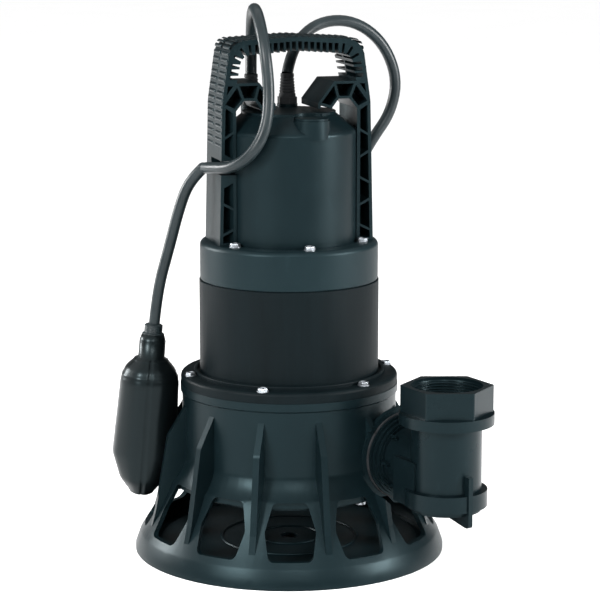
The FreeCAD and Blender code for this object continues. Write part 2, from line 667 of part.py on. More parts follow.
def turned_ring(label, inner, outer, bottom, height, recess=None):
    """A plain ring, or a bearing whose two faces are recessed between its races."""
    top = bottom + height
    if recess is None:
        return turned(label, [corner(inner, bottom), corner(outer, bottom), corner(outer, top), corner(inner, top)])
    low = inner + dim.race_width
    high = outer - dim.race_width
    return turned(label, [
        corner(inner, bottom), corner(low, bottom), corner(low, bottom + recess), corner(high, bottom + recess),
        corner(high, bottom), corner(outer, bottom), corner(outer, top), corner(high, top),
        corner(high, top - recess), corner(low, top - recess), corner(low, top), corner(inner, top),
    ])


def make_impeller():
    """A vortex impeller: a disc with swept vanes below it, keyed to the shaft."""
    body = new_body("impeller")
    bore = dim.seat_radius + dim.seat_gap
    bottom = dim.impeller_bottom
    disc_top = dim.disc_bottom + dim.disc_thickness
    revolve(body, [
        corner(bore, bottom), corner(dim.hub_radius - 1, bottom), corner(dim.hub_radius, bottom + 1),
        corner(dim.hub_radius + 1, dim.disc_bottom), corner(dim.impeller_radius, dim.disc_bottom),
        corner(dim.impeller_radius, disc_top), corner(dim.hub_radius + 2, disc_top),
        corner(dim.hub_radius - 1, bottom + dim.hub_height), corner(bore, bottom + dim.hub_height),
    ])
    half = dim.vane_width / 2
    root_radius = dim.hub_radius - 2
    vane = outline(body, [[
        corner(root_radius, -half, bulge=-dim.vane_sweep),
        corner(dim.impeller_radius - 1, -half),
        corner(dim.impeller_radius - 1, half, bulge=dim.vane_sweep),
        corner(root_radius, half),
    ]], plane="XY_Plane", shift={"z": dim.vane_bottom})
    around(body, extrude(body, vane, dim.disc_bottom - dim.vane_bottom + 1), dim.vane_count)
    keyway = outline(body, [[
        corner(bore - 1, -dim.key_width / 2 - dim.seat_gap), corner(bore + dim.key_depth + dim.seat_gap,
                                                                   -dim.key_width / 2 - dim.seat_gap),
        corner(bore + dim.key_depth + dim.seat_gap, dim.key_width / 2 + dim.seat_gap),
        corner(bore - 1, dim.key_width / 2 + dim.seat_gap),
    ]], plane="XY_Plane", shift={"z": bottom - 1})
    extrude(body, keyway, dim.hub_height + 2, cut=True, backward=True)


def make_shaft():
    """The shaft, stepped from the nut's thread up to the upper bearing, with a keyway."""
    body = new_body("shaft")
    collar_top = dim.frame_ledge_height + dim.frame_ledge_thickness
    collar_bottom = collar_top - dim.collar_height
    core_top = collar_top + dim.core_height
    neck_top = dim.upper_bearing_bottom - 0.6
    revolve(body, [
        corner(0, dim.shaft_bottom), corner(dim.thread_radius - 0.6, dim.shaft_bottom),
        corner(dim.thread_radius, dim.shaft_bottom + 0.6), corner(dim.thread_radius, dim.impeller_bottom),
        corner(dim.seat_radius, dim.impeller_bottom), corner(dim.seat_radius, dim.journal_bottom),
        corner(dim.journal_radius, dim.journal_bottom), corner(dim.journal_radius, collar_bottom),
        corner(dim.collar_radius, collar_bottom), corner(dim.collar_radius, collar_top),
        corner(dim.rotor_seat_radius, collar_top), corner(dim.rotor_seat_radius, core_top + 3),
        corner(dim.shaft_neck_radius, core_top + 4), corner(dim.shaft_neck_radius, neck_top),
        corner(dim.upper_journal_radius, neck_top), corner(dim.upper_journal_radius, dim.shaft_top),
        corner(0, dim.shaft_top),
    ])
    floor = dim.seat_radius - dim.key_depth
    keyway = outline(body, [[
        corner(floor, -dim.key_width / 2 - dim.seat_gap), corner(dim.seat_radius + 1, -dim.key_width / 2
                                                                 - dim.seat_gap),
        corner(dim.seat_radius + 1, dim.key_width / 2 + dim.seat_gap),
        corner(floor, dim.key_width / 2 + dim.seat_gap),
    ]], plane="XY_Plane", shift={"z": dim.key_bottom})
    extrude(body, keyway, dim.key_length, cut=True, backward=True)


def make_key():
    """The key between the shaft and the impeller's hub."""
    body = new_body("impeller_key")
    floor = dim.seat_radius - dim.key_depth
    sketch = outline(body, [[
        corner(floor, -dim.key_width / 2), corner(floor + dim.key_height, -dim.key_width / 2),
        corner(floor + dim.key_height, dim.key_width / 2), corner(floor, dim.key_width / 2),
    ]], plane="XY_Plane", shift={"z": dim.key_bottom + dim.seat_gap})
    extrude(body, sketch, dim.key_length - 2 * dim.seat_gap)


def make_nut():
    """The hexagon nut under the impeller and its washer."""
    top = dim.impeller_bottom - dim.washer_thickness
    bore = dim.thread_radius + dim.seat_gap
    body = new_body("impeller_nut")
    sketch = outline(body, [regular_corners(dim.nut_flats)], [(0, 0, bore)], plane="XY_Plane",
                     shift={"z": top - dim.nut_height})
    extrude(body, sketch, dim.nut_height)
    turned_ring("impeller_washer", bore, dim.washer_radius, top, dim.washer_thickness)


def make_seals():
    """The face seal under the carrier, the lip seal over it, and the carrier that holds the oil."""
    shaft_gap = dim.seat_radius + dim.lip_gap
    head_height = dim.seal_face - dim.seal_head_bottom - dim.seat_gap
    turned_ring("seal_head", dim.seat_radius + dim.seat_gap, dim.seal_head_radius, dim.seal_head_bottom, head_height)
    turned_ring("seal_seat", shaft_gap + dim.lip_gap, dim.seal_seat_radius, dim.seal_face, dim.seal_seat_height)
    turned_ring("lip_seal", shaft_gap, dim.lip_seal_radius, dim.lower_bearing_bottom - dim.lip_seal_height,
                dim.lip_seal_height - dim.lip_gap)
    spring_bottom = dim.impeller_bottom + dim.hub_height
    wire = dim.seal_wire_radius.number
    rise = (dim.seal_head_bottom - spring_bottom).number - 2 * wire
    helix = Part.makeHelix(rise / 2, rise, dim.seal_spring_radius.number)
    start = helix.Vertexes[0].Point
    ring = Part.Wire([Part.Circle(start, Vector(0, 1, 0), wire).toShape()])
    coil = Part.Wire(helix.Edges).makePipeShell([ring], True, True)
    add_shape("seal_spring", coil, Placement(Vector(0, 0, spring_bottom.number + wire), Rotation()))
    seat = dim.seal_face + dim.seal_seat_height
    pocket = dim.seal_seat_radius + dim.seat_gap
    rim = dim.carrier_bore - dim.carrier_gap
    groove_middle = (dim.carrier_seat + dim.body_top) / 2
    groove_floor = rim - dim.oring_groove
    turned("seal_carrier", [
        corner(pocket, dim.carrier_bottom),
        corner(dim.carrier_step - dim.carrier_gap, dim.carrier_bottom),
        corner(dim.carrier_step - dim.carrier_gap, dim.carrier_seat),
        corner(rim, dim.carrier_seat),
        corner(rim, groove_middle - dim.oring_width / 2),
        corner(groove_floor, groove_middle - dim.oring_width / 2),
        corner(groove_floor, groove_middle + dim.oring_width / 2),
        corner(rim, groove_middle + dim.oring_width / 2),
        corner(rim, dim.body_top),
        corner(dim.carrier_step - dim.carrier_wall + 2, dim.body_top),
        corner(dim.carrier_step - dim.carrier_wall, dim.carrier_floor),
        corner(dim.carrier_hub_radius, dim.carrier_floor),
        corner(dim.carrier_hub_radius - 2, dim.carrier_hub_top),
        corner(shaft_gap + dim.lip_gap, dim.carrier_hub_top),
        corner(shaft_gap + dim.lip_gap, seat),
        corner(pocket, seat),
    ])
    ring = document.addObject("Part::Torus", "carrier_oring")
    bind(ring, "Radius1", rim - dim.oring_groove + dim.oring_radius + dim.seat_gap)
    bind(ring, "Radius2", dim.oring_radius)
    bind(ring, "Placement.Base.z", groove_middle)
    parts["carrier_oring"] = ring


# Motor


def make_motor():
    """Brackets, bearings, stator and rotor, stacked between the carrier and the casing's inner ring."""
    rim = dim.casing_bore - dim.bracket_gap
    low = dim.body_top
    low_top = low + dim.lower_bracket_height
    pocket = dim.lower_bearing_radius + dim.seat_gap
    lip_pocket = dim.lip_seal_radius + dim.seat_gap
    hub = pocket + dim.bracket_hub_wall
    turned("lower_bracket", [
        corner(lip_pocket, low), corner(rim, low), corner(rim, low_top), corner(rim - dim.bracket_rim, low_top),
        corner(rim - dim.bracket_rim, low + dim.bracket_disc), corner(hub, low + dim.bracket_disc),
        corner(hub, low_top), corner(pocket, low_top), corner(pocket, dim.lower_bearing_bottom),
        corner(lip_pocket, dim.lower_bearing_bottom),
    ])
    turned_ring("lower_bearing", dim.journal_radius + dim.running_gap, dim.lower_bearing_radius,
                dim.lower_bearing_bottom, dim.lower_bearing_height, recess=dim.shield_recess)
    frame_inner = rim - dim.frame_wall
    ledge_top = dim.frame_ledge_height + dim.frame_ledge_thickness
    high = dim.casing_top - dim.ring_floor
    high_bottom = high - dim.upper_bracket_height
    turned("stator_frame", [
        corner(frame_inner, low_top), corner(rim, low_top), corner(rim, high_bottom),
        corner(frame_inner, high_bottom), corner(frame_inner, ledge_top),
        corner(frame_inner - dim.frame_ledge, ledge_top),
        corner(frame_inner - dim.frame_ledge, dim.frame_ledge_height), corner(frame_inner, dim.frame_ledge_height),
    ])
    turned_ring("stator_core", dim.rotor_radius + dim.air_gap, frame_inner - dim.core_gap, ledge_top,
                dim.core_height)
    turned_ring("lower_winding", dim.winding_inner, dim.winding_outer, ledge_top - dim.winding_lower_height,
                dim.winding_lower_height)
    core_top = ledge_top + dim.core_height
    turned_ring("upper_winding", dim.winding_inner, dim.winding_outer, core_top, dim.winding_upper_height)
    turned("rotor_core", [
        corner(dim.rotor_seat_radius + dim.seat_gap, ledge_top), corner(dim.end_ring_inner, ledge_top),
        corner(dim.end_ring_inner, ledge_top - dim.end_ring_height),
        corner(dim.end_ring_outer, ledge_top - dim.end_ring_height), corner(dim.end_ring_outer, ledge_top),
        corner(dim.rotor_radius, ledge_top), corner(dim.rotor_radius, core_top),
        corner(dim.end_ring_outer, core_top), corner(dim.end_ring_outer, core_top + dim.end_ring_height),
        corner(dim.end_ring_inner, core_top + dim.end_ring_height), corner(dim.end_ring_inner, core_top),
        corner(dim.rotor_seat_radius + dim.seat_gap, core_top),
    ])
    pocket = dim.upper_bearing_radius + dim.seat_gap
    hub = pocket + dim.bracket_hub_wall
    hub_top = dim.upper_bearing_bottom + dim.upper_bearing_height + 1
    eye = dim.shaft_neck_radius + 1
    turned("upper_bracket", [
        corner(eye, high - dim.upper_bracket_disc), corner(rim - dim.bracket_rim, high - dim.upper_bracket_disc),
        corner(rim - dim.bracket_rim, high_bottom), corner(rim, high_bottom), corner(rim, high),
        corner(hub + 2, high), corner(hub, hub_top), corner(pocket, hub_top),
        corner(pocket, dim.upper_bearing_bottom), corner(eye, dim.upper_bearing_bottom),
    ])
    turned_ring("upper_bearing", dim.upper_journal_radius + dim.running_gap, dim.upper_bearing_radius,
                dim.upper_bearing_bottom, dim.upper_bearing_height, recess=dim.shield_recess)
    turned_ring("wave_washer", dim.upper_bearing_radius - dim.wave_washer_width, dim.upper_bearing_radius,
                dim.upper_bearing_bottom + dim.upper_bearing_height, dim.wave_washer_thickness)


def make_casing():
    """The motor casing: its flange with the raised lip, the canister and the ring inside its top."""
    flange_top = dim.body_top + dim.casing_flange_thickness
    lip_top = flange_top + dim.lip_height
    ring_top = dim.casing_top + dim.ring_height
    body = turned("motor_casing", [
        corner(dim.casing_bore, dim.body_top), corner(dim.casing_flange_radius, dim.body_top),
        corner(dim.casing_flange_radius, flange_top, dim.casing_flange_rounding),
        corner(dim.lip_outer, flange_top), corner(dim.lip_outer, lip_top, dim.lip_rounding),
        corner(dim.lip_inner, lip_top, dim.lip_rounding), corner(dim.lip_inner, flange_top + 0.6),
        corner(dim.casing_radius, flange_top + 0.6),
        corner(dim.casing_radius, dim.casing_top - dim.seam_bevel),
        corner(dim.casing_radius - dim.seam_bevel, dim.casing_top),
        corner(dim.ring_outer, dim.casing_top), corner(dim.ring_outer, ring_top), corner(dim.ring_inner, ring_top),
        corner(dim.ring_inner, dim.casing_top - dim.ring_floor),
        corner(dim.casing_bore, dim.casing_top - dim.ring_floor),
    ])
    hole = dim.screw_radius + dim.screw_gap
    first = 30
    drill_ring(body, dim.flange_screw_circle, first, hole, flange_top + 1, dim.casing_flange_thickness + 2,
               dim.flange_screw_count)
    drill_ring(body, dim.cover_screw_circle, 0, hole, ring_top + 1, dim.cover_screw_bite + 1,
               dim.cover_screw_count)


def make_cover():
    """The band over the casing's top, with the plate that clamps the cap."""
    plate_bottom = dim.cover_top - dim.cover_plate
    groove = dim.cover_groove_radius
    body = turned("motor_cover", [
        corner(dim.cover_bore, dim.casing_top), corner(dim.cover_radius - dim.seam_bevel, dim.casing_top),
        corner(dim.cover_radius, dim.casing_top + dim.seam_bevel),
        corner(dim.cover_radius, dim.cover_top, dim.cover_rounding), corner(groove, dim.cover_top),
        corner(groove, dim.cover_top - dim.cover_groove_depth),
        corner(groove - dim.cover_groove_width, dim.cover_top - dim.cover_groove_depth),
        corner(groove - dim.cover_groove_width, dim.cover_top - 0.3),
        corner(dim.cap_radius + dim.cap_gap, dim.cover_top - 0.3), corner(dim.cap_radius + dim.cap_gap, plate_bottom),
        corner(dim.cover_bore, plate_bottom),
    ])
    drill_ring(body, dim.cover_screw_circle, 0, dim.screw_radius + dim.screw_gap, dim.cover_top + 1,
               dim.cover_plate + 2, dim.cover_screw_count)


def make_cap():
    """The cap over the motor's top, with the posts that clamp it, the gland sockets and the plug's boss."""
    body = new_body("cap")
    flange_top = dim.cover_top - dim.cover_plate
    flange_bottom = flange_top - dim.cap_flange_thickness
    inner = dim.cap_radius - dim.cap_wall
    revolve(body, [
        corner(inner, flange_bottom), corner(dim.cap_flange_radius, flange_bottom),
        corner(dim.cap_flange_radius, flange_top), corner(dim.cap_radius, flange_top),
        corner(dim.cap_radius, dim.cap_eaves, dim.cap_rounding),
        corner(dim.cap_disc_radius + 0.5, dim.cap_cone_top), corner(dim.cap_disc_radius, dim.cap_cone_top),
        corner(dim.cap_disc_radius, dim.cap_top), corner(0, dim.cap_top), corner(0, dim.cap_top - dim.cap_wall),
        corner(dim.cap_disc_radius - 1, dim.cap_top - dim.cap_wall), corner(inner, dim.cap_eaves - 2),
    ])
    ring_top = dim.casing_top + dim.ring_height
    across, back = on_circle(dim.cover_screw_circle, 0)
    post = outline(body, [], [(across, back, dim.boss_radius)], plane="XY_Plane", shift={"z": ring_top})
    around(body, extrude(body, post, flange_bottom - ring_top + 1), dim.cover_screw_count)
    drill_ring(body, dim.cover_screw_circle, 0, dim.screw_radius + dim.screw_gap, flange_top + 1,
               flange_top - ring_top + 2, dim.cover_screw_count)
    boss = outline(body, [], [(dim.plug_across, -dim.plug_front, dim.plug_boss_radius)], plane="XY_Plane",
                   shift={"z": dim.cap_eaves - 4})
    extrude(body, boss, dim.plug_boss_top - dim.cap_eaves + 4)
    hole = outline(body, [], [(dim.plug_across, -dim.plug_front, dim.cap_plug_stem + dim.screw_gap)],
                   plane="XY_Plane", shift={"z": dim.plug_boss_top + 1})
    extrude(body, hole, 1 + dim.cap_plug_depth + dim.cap_plug_gap, cut=True)
    scoop = outline(body, [], [(dim.plug_across, -dim.plug_front, dim.cap_plug_radius + dim.cap_plug_gap)],
                    plane="XY_Plane", shift={"z": dim.plug_boss_top})
    extrude(body, scoop, dim.gland_boss_top - dim.plug_boss_top, cut=True, backward=True)
    for across, back in gland_places():
        socket = outline(body, [], [(across, back, dim.gland_boss_radius)], plane="XY_Plane",
                         shift={"z": dim.gland_boss_bottom})
        extrude(body, socket, dim.gland_boss_top - dim.gland_boss_bottom)
        hole = outline(body, [], [(across, back, dim.gland_bore)], plane="XY_Plane",
                       shift={"z": dim.gland_boss_top + 1})
        extrude(body, hole, dim.gland_boss_top - dim.gland_boss_bottom + 3, cut=True)
    turned_plug = new_body("cap_plug")
    revolve(turned_plug, [
        corner(0, -dim.cap_plug_depth), corner(dim.cap_plug_stem, -dim.cap_plug_depth),
        corner(dim.cap_plug_stem, 0), corner(dim.cap_plug_radius, 0),
        corner(dim.cap_plug_radius, dim.cap_plug_thickness, dim.cap_plug_rounding),
        corner(0, dim.cap_plug_thickness),
    ])
    bind(turned_plug, "Placement.Base.x", dim.plug_across)
    bind(turned_plug, "Placement.Base.y", -dim.plug_front)
    bind(turned_plug, "Placement.Base.z", dim.plug_boss_top)


def gland_places():
    return [(dim.float_gland_across, dim.float_gland_back), (dim.power_gland_across, dim.power_gland_back)]


def make_glands():
    """A hexagon gland nut and a tapered relief for each cable."""
    for label, (across, back) in zip(("float", "power"), gland_places()):
        nut = new_body(f"{label}_gland")
        extrude(nut, outline(nut, [regular_corners(dim.gland_flats)], plane="XY_Plane"), dim.gland_nut_height)
        relief = turned(f"{label}_relief", [
            corner(0, dim.gland_nut_height), corner(dim.relief_foot_radius, dim.gland_nut_height),
            corner(dim.relief_tip_radius, dim.gland_nut_height + dim.relief_height),
            corner(0, dim.gland_nut_height + dim.relief_height),
        ])
        for body in (nut, relief):
            bind(body, "Placement.Base.x", across)
            bind(body, "Placement.Base.y", back)
            bind(body, "Placement.Base.z", dim.gland_boss_top)


def make_cap_contents():
    """The run capacitor and the terminal block on the cover's side of the cap."""
    capacitor = document.addObject("Part::Cylinder", "capacitor")
    bind(capacitor, "Radius", dim.capacitor_radius)
    bind(capacitor, "Height", dim.capacitor_length)
    block = document.addObject("Part::Box", "terminal_block")
    for side, value in zip(("Length", "Width", "Height"), (dim.block_length, dim.block_width, dim.block_height)):
        bind(block, side, value)
    bind(capacitor, "Placement.Base.x", dim.capacitor_across)
    bind(capacitor, "Placement.Base.y", -dim.capacitor_front)
    bind(capacitor, "Placement.Base.z", dim.tray_top)
    bind(block, "Placement.Base.x", -dim.block_length / 2)
    bind(block, "Placement.Base.y", dim.block_back)
    bind(block, "Placement.Base.z", dim.tray_top)
    tray = turned_ring("cap_tray", dim.tray_bore, dim.cap_radius - dim.cap_wall - 0.4,
                       dim.tray_top - dim.tray_thickness, dim.tray_thickness)
    parts["capacitor"] = capacitor
    parts["terminal_block"] = block
    return tray


# Screws


def ring_of_screws(label, circle, first, count, head_bottom, length, washer=True, flip=False):
    """A ring of equal screws as one group: the first is turned, the others are its copies."""
    shank = dim.screw_radius
    head = dim.screw_head_radius
    foot = dim.screw_washer_thickness if washer else 0.6
    skirt = dim.screw_washer_radius if washer else head
    profile = [
        (0, -length), (shank, -length), (shank, as_size(0)), (skirt, 0), (skirt, foot), (head, foot),
        (head, dim.screw_head_height * 0.72), (head * 0.62, dim.screw_head_height), (0, dim.screw_head_height),
    ]
    screw = turned_solid(profile)
    if flip:
        screw.rotate(Vector(0, 0, 0), Vector(1, 0, 0), 180)
    copies = []
    for step in range(int(as_size(count).number)):
        angle = as_size(first).number + 360 / as_size(count).number * step
        across, back = on_circle(circle, angle)
        copy = screw.copy()
        copy.translate(Vector(across.number, back.number, head_bottom.number))
        copies.append(copy)
    add_shape(label, Part.makeCompound(copies))


def make_screws():
    flange_top = dim.body_top + dim.casing_flange_thickness
    ring_of_screws("flange_screws", dim.flange_screw_circle, 30, dim.flange_screw_count, flange_top,
                   dim.flange_screw_length)
    cover_length = dim.cover_top - dim.casing_top - dim.ring_height + dim.cover_screw_bite - 1
    ring_of_screws("cover_screws", dim.cover_screw_circle, 0, dim.cover_screw_count, dim.cover_top, cover_length)
    plate_bottom = dim.chamber_floor - dim.ledge_thickness - dim.suction_plate_thickness
    first = dim.outlet_angle + 180 / dim.window_count
    ring_of_screws("suction_screws", dim.suction_screw_circle, first, dim.flange_screw_count, plate_bottom,
                   dim.suction_screw_length, washer=False, flip=True)


# Handle


def inset(corners, walls):
    """The corners of a convex loop, listed anticlockwise, moved inwards by each side's own wall."""
    moved = []
    for index, (across, up) in enumerate(corners):
        before = corners[index - 1]
        after = corners[(index + 1) % len(corners)]
        in_across, in_up = unit(across - before[0], up - before[1])
        out_across, out_up = unit(after[0] - across, after[1] - up)
        turn = in_across * out_up - in_up * out_across
        wall_before = as_size(walls[index - 1])
        wall_after = as_size(walls[index])
        moved.append((across + (wall_before * out_across - wall_after * in_across) / turn,
                      up + (wall_before * out_up - wall_after * in_up) / turn))
    return moved


def unit(across, up):
    length = root(across * across + up * up)
    return across / length, up / length


def mirrored(points):
    return [(-point[0], *point[1:]) for point in reversed(points)]


def handle_outline():
    """The handle's outline: out and up the right side, down the left, and back along the inside."""
    outer = [
        (dim.handle_foot_half, dim.cover_top),
        (dim.handle_knee_half, dim.handle_knee_height, dim.handle_knee_rounding),
        (dim.handle_corner_half, dim.handle_corner_height, dim.handle_corner_rounding),
    ]
    inner = [
        (dim.grip_inner_half, dim.grip_inner_height, dim.grip_inner_rounding),
        (dim.hook_outer_half, dim.hook_top),
        (dim.hook_flat_half, dim.hook_top),
        (dim.hook_tip_half, dim.hook_heel),
        (dim.hook_tip_half, dim.cap_top),
        (dim.hook_foot_half, dim.cap_top),
        (dim.hook_foot_half, dim.hook_arch_heel),
        (dim.hook_arch_inner, dim.hook_arch_top),
        (dim.hook_arch_outer, dim.hook_arch_top),
        (dim.hook_spring_half, dim.hook_arch_spring),
        (dim.post_inner_half, dim.cover_top),
    ]
    crown = [(as_size(0), dim.handle_crown, dim.crown_rounding)]
    underside = [(as_size(0), dim.grip_underside)]
    return outer + crown + mirrored(outer) + mirrored(inner) + underside + inner


def post_half(height):
    """How far out the post's outer face is at a height."""
    lean = (dim.handle_foot_half - dim.handle_knee_half) / (dim.handle_knee_height - dim.cover_top)
    return dim.handle_knee_half + (dim.handle_knee_height - height) * lean


def grip_lean():
    """How much the grip's side narrows for each millimetre up."""
    return (dim.handle_knee_half - dim.handle_corner_half) / (dim.handle_corner_height - dim.handle_knee_height)


def truss_cells(notched):
    """The cells of one post, wide outside and wide inside by turns; a notched post keeps one solid."""
    drop = (dim.truss_wide - dim.truss_narrow) / 2
    pitch = dim.truss_wide + dim.truss_narrow + 2 * dim.rib
    floor = dim.cover_top + dim.liner
    cells = []
    for step in range(int(dim.truss_count.number)):
        top = dim.truss_top - step * pitch
        inner_top = top - drop
        sides = [(top, top - dim.truss_wide, inner_top, inner_top - dim.truss_narrow)]
        low = top - dim.truss_wide - dim.rib
        inner_low = inner_top - dim.truss_narrow - dim.rib
        last = step == dim.truss_count.number - 1
        sides.append((low, floor if last else low - dim.truss_narrow,
                      inner_low, floor if last else inner_low - dim.truss_wide))
        if notched and step == 1:
            sides = sides[1:]
        for high, bottom, inner_high, inner_bottom in sides:
            cells.append([
                (dim.truss_inner_half, inner_bottom), (post_half(bottom) - dim.skin, bottom),
                (post_half(high) - dim.skin, high), (dim.truss_inner_half, inner_high),
            ])
    return cells


def hook_cells():
    """The cells that fan round the arch of one hook."""
    outer = [
        (dim.hook_tip_half, dim.cap_top), (dim.hook_tip_half, dim.hook_heel), (dim.hook_flat_half, dim.hook_top),
        (dim.hook_outer_half, dim.hook_top), (post_half(dim.handle_knee_height), dim.handle_knee_height),
    ]
    inner = [
        (dim.hook_foot_half, dim.cap_top), (dim.hook_foot_half, dim.hook_arch_heel),
        (dim.hook_arch_inner, dim.hook_arch_top), (dim.hook_arch_outer, dim.hook_arch_top),
        (dim.hook_spring_half, dim.hook_arch_spring),
    ]
    cells = []
    for step in range(len(outer) - 1):
        loop = [inner[step], inner[step + 1], outer[step + 1], outer[step]]
        end_wall = dim.rib if step == 0 else dim.rib / 2
        cells.append(inset(loop, [dim.rib, dim.rib / 2, dim.rib, end_wall]))
    heel = (post_half(dim.handle_knee_height) - (dim.hook_top - dim.handle_knee_height) * grip_lean(), dim.hook_top)
    cells.append(inset([outer[3], outer[4], heel], [dim.rib / 2, dim.skin, dim.rib]))
    return cells


def slot(centre, direction, start, end, width):
    """A slot's corners: it runs from start to end along a direction from its centre."""
    along_across, along_up = direction
    half = width / 2
    points = []
    for along, aside in ((start, -half), (end, -half), (end, half), (start, half)):
        points.append((centre[0] + along * along_across - aside * along_up,
                       centre[1] + along * along_up + aside * along_across))
    return points


def comb_slots():
    """The slots between the teeth of the right half of the grip: over the hand, round the corner, down."""
    width = dim.tooth_pitch - dim.tooth
    slope = (dim.handle_crown - dim.handle_corner_height) / dim.handle_corner_half
    slots = []
    for step in range(7):
        across = dim.tooth_pitch * (step + 0.5)
        top = dim.handle_crown - across * slope - dim.grip_skin - 0.5
        slots.append(slot((across, dim.grip_underside), (as_size(0), as_size(1)), as_size(-6),
                          top - dim.grip_underside, width))
    fan = (dim.grip_inner_half - dim.grip_inner_rounding, dim.grip_inner_height - dim.grip_inner_rounding)
    for angle in (82, 56, 30, 4):
        slots.append(slot(fan, (cosine(angle), sine(angle)), dim.grip_inner_rounding - 2, dim.fan_reach,
                          dim.fan_width))
    for step in range(2):
        height = dim.hook_top + dim.rib + width / 2 + dim.tooth_pitch * step + 0.8
        outer = dim.handle_knee_half - (height - dim.handle_knee_height) * grip_lean() - dim.grip_skin
        slots.append(slot((as_size(0), height), (as_size(1), as_size(0)), dim.grip_inner_half - 2, outer, width))
    return slots


def make_handle():
    """The handle: two trussed posts, two hooks over the cap and a combed grip, with a web inside."""
    body = new_body("handle")
    frame = outline(body, [[corner(*point) for point in handle_outline()]])
    extrude(body, frame, dim.handle_depth, both=True)
    slots = comb_slots()
    groups = [truss_cells(False), mirrored_cells(truss_cells(True)), hook_cells(), mirrored_cells(hook_cells()),
              slots + mirrored_cells(slots)]
    start = dim.handle_depth / 2 + 1
    for cells in groups:
        for side in (1, -1):
            cut = outline(body, [[corner(*point) for point in cell] for cell in cells], shift={"z": start * side})
            extrude(body, cut, start - dim.web / 2, cut=True, backward=side < 0)
    inner = dim.cap_radius + dim.handle_gap
    outer = inner + dim.liner
    half = dim.handle_depth / 2
    edge_inner = root(inner * inner - half * half)
    edge_outer = root(outer * outer - half * half)
    for side in (1, -1):
        liner = outline(body, [[
            corner(edge_inner * side, half, bulge=(inner - edge_inner) * side),
            corner(edge_inner * side, -half),
            corner(edge_outer * side, -half, bulge=(outer - edge_outer) * -side),
            corner(edge_outer * side, half),
        ]], plane="XY_Plane", shift={"z": dim.cover_top})
        extrude(body, liner, dim.hook_arch_spring - dim.cover_top)
    round_cap = outline(body, [], [(0, 0, inner)], plane="XY_Plane", shift={"z": dim.cover_top - 1})
    extrude(body, round_cap, dim.hook_arch_spring - dim.cover_top + 1, cut=True, backward=True)
    hole = outline(body, [[
        corner(-dim.handle_foot_half - 1, dim.notch_bottom), corner(-dim.post_inner_half, dim.notch_bottom),
        corner(-dim.post_inner_half, dim.notch_top), corner(-dim.handle_foot_half - 1, dim.notch_top),
    ]], shift={"z": half + 1})
    extrude(body, hole, dim.notch_depth + 1, cut=True)


def mirrored_cells(cells):
    return [mirrored(cell) for cell in cells]


# Float


def float_place(height=0):
    """The float's placement: its foot under the notch, turned and leaning, raised along its own axis."""
    lean = Rotation(Vector(0, 0, 1), dim.float_turn.number) * Rotation(Vector(0, 1, 0), dim.float_tilt.number)
    foot = Vector(dim.float_across.number, dim.float_back.number, dim.float_bottom.number)
    return Placement(foot + lean.multVec(Vector(0, 0, as_size(height).number)), lean)


def float_loft(wall):
    """The float's faceted body, or the hollow in it when a wall is given."""
    sections = [
        (wall, dim.float_foot_half, dim.float_foot_width),
        (dim.float_chine_height + wall / 2, dim.float_chine_half, dim.float_chine_width),
        (dim.float_belly_height, dim.float_belly_half, dim.float_belly_width),
        (dim.float_shoulder_height - wall / 2, dim.float_shoulder_half, dim.float_shoulder_width),
        (dim.float_brow_height - wall, dim.float_brow_half, dim.float_brow_width),
        (dim.float_crown_height - wall, dim.float_crown_half, dim.float_crown_width),
    ]
    wires = []
    for height, half, width in sections:
        half = (half - wall).number
        width = (width - wall).number
        corners = [
            (half, width * 0.5), (half * 0.55, width), (-half * 0.55, width), (-half, width * 0.5),
            (-half, -width * 0.5), (-half * 0.55, -width), (half * 0.55, -width), (half, -width * 0.5),
        ]
        points = [Vector(across, back, as_size(height).number) for across, back in corners]
        wires.append(Part.makePolygon(points + [points[0]]))
    return Part.makeLoft(wires, True, True)


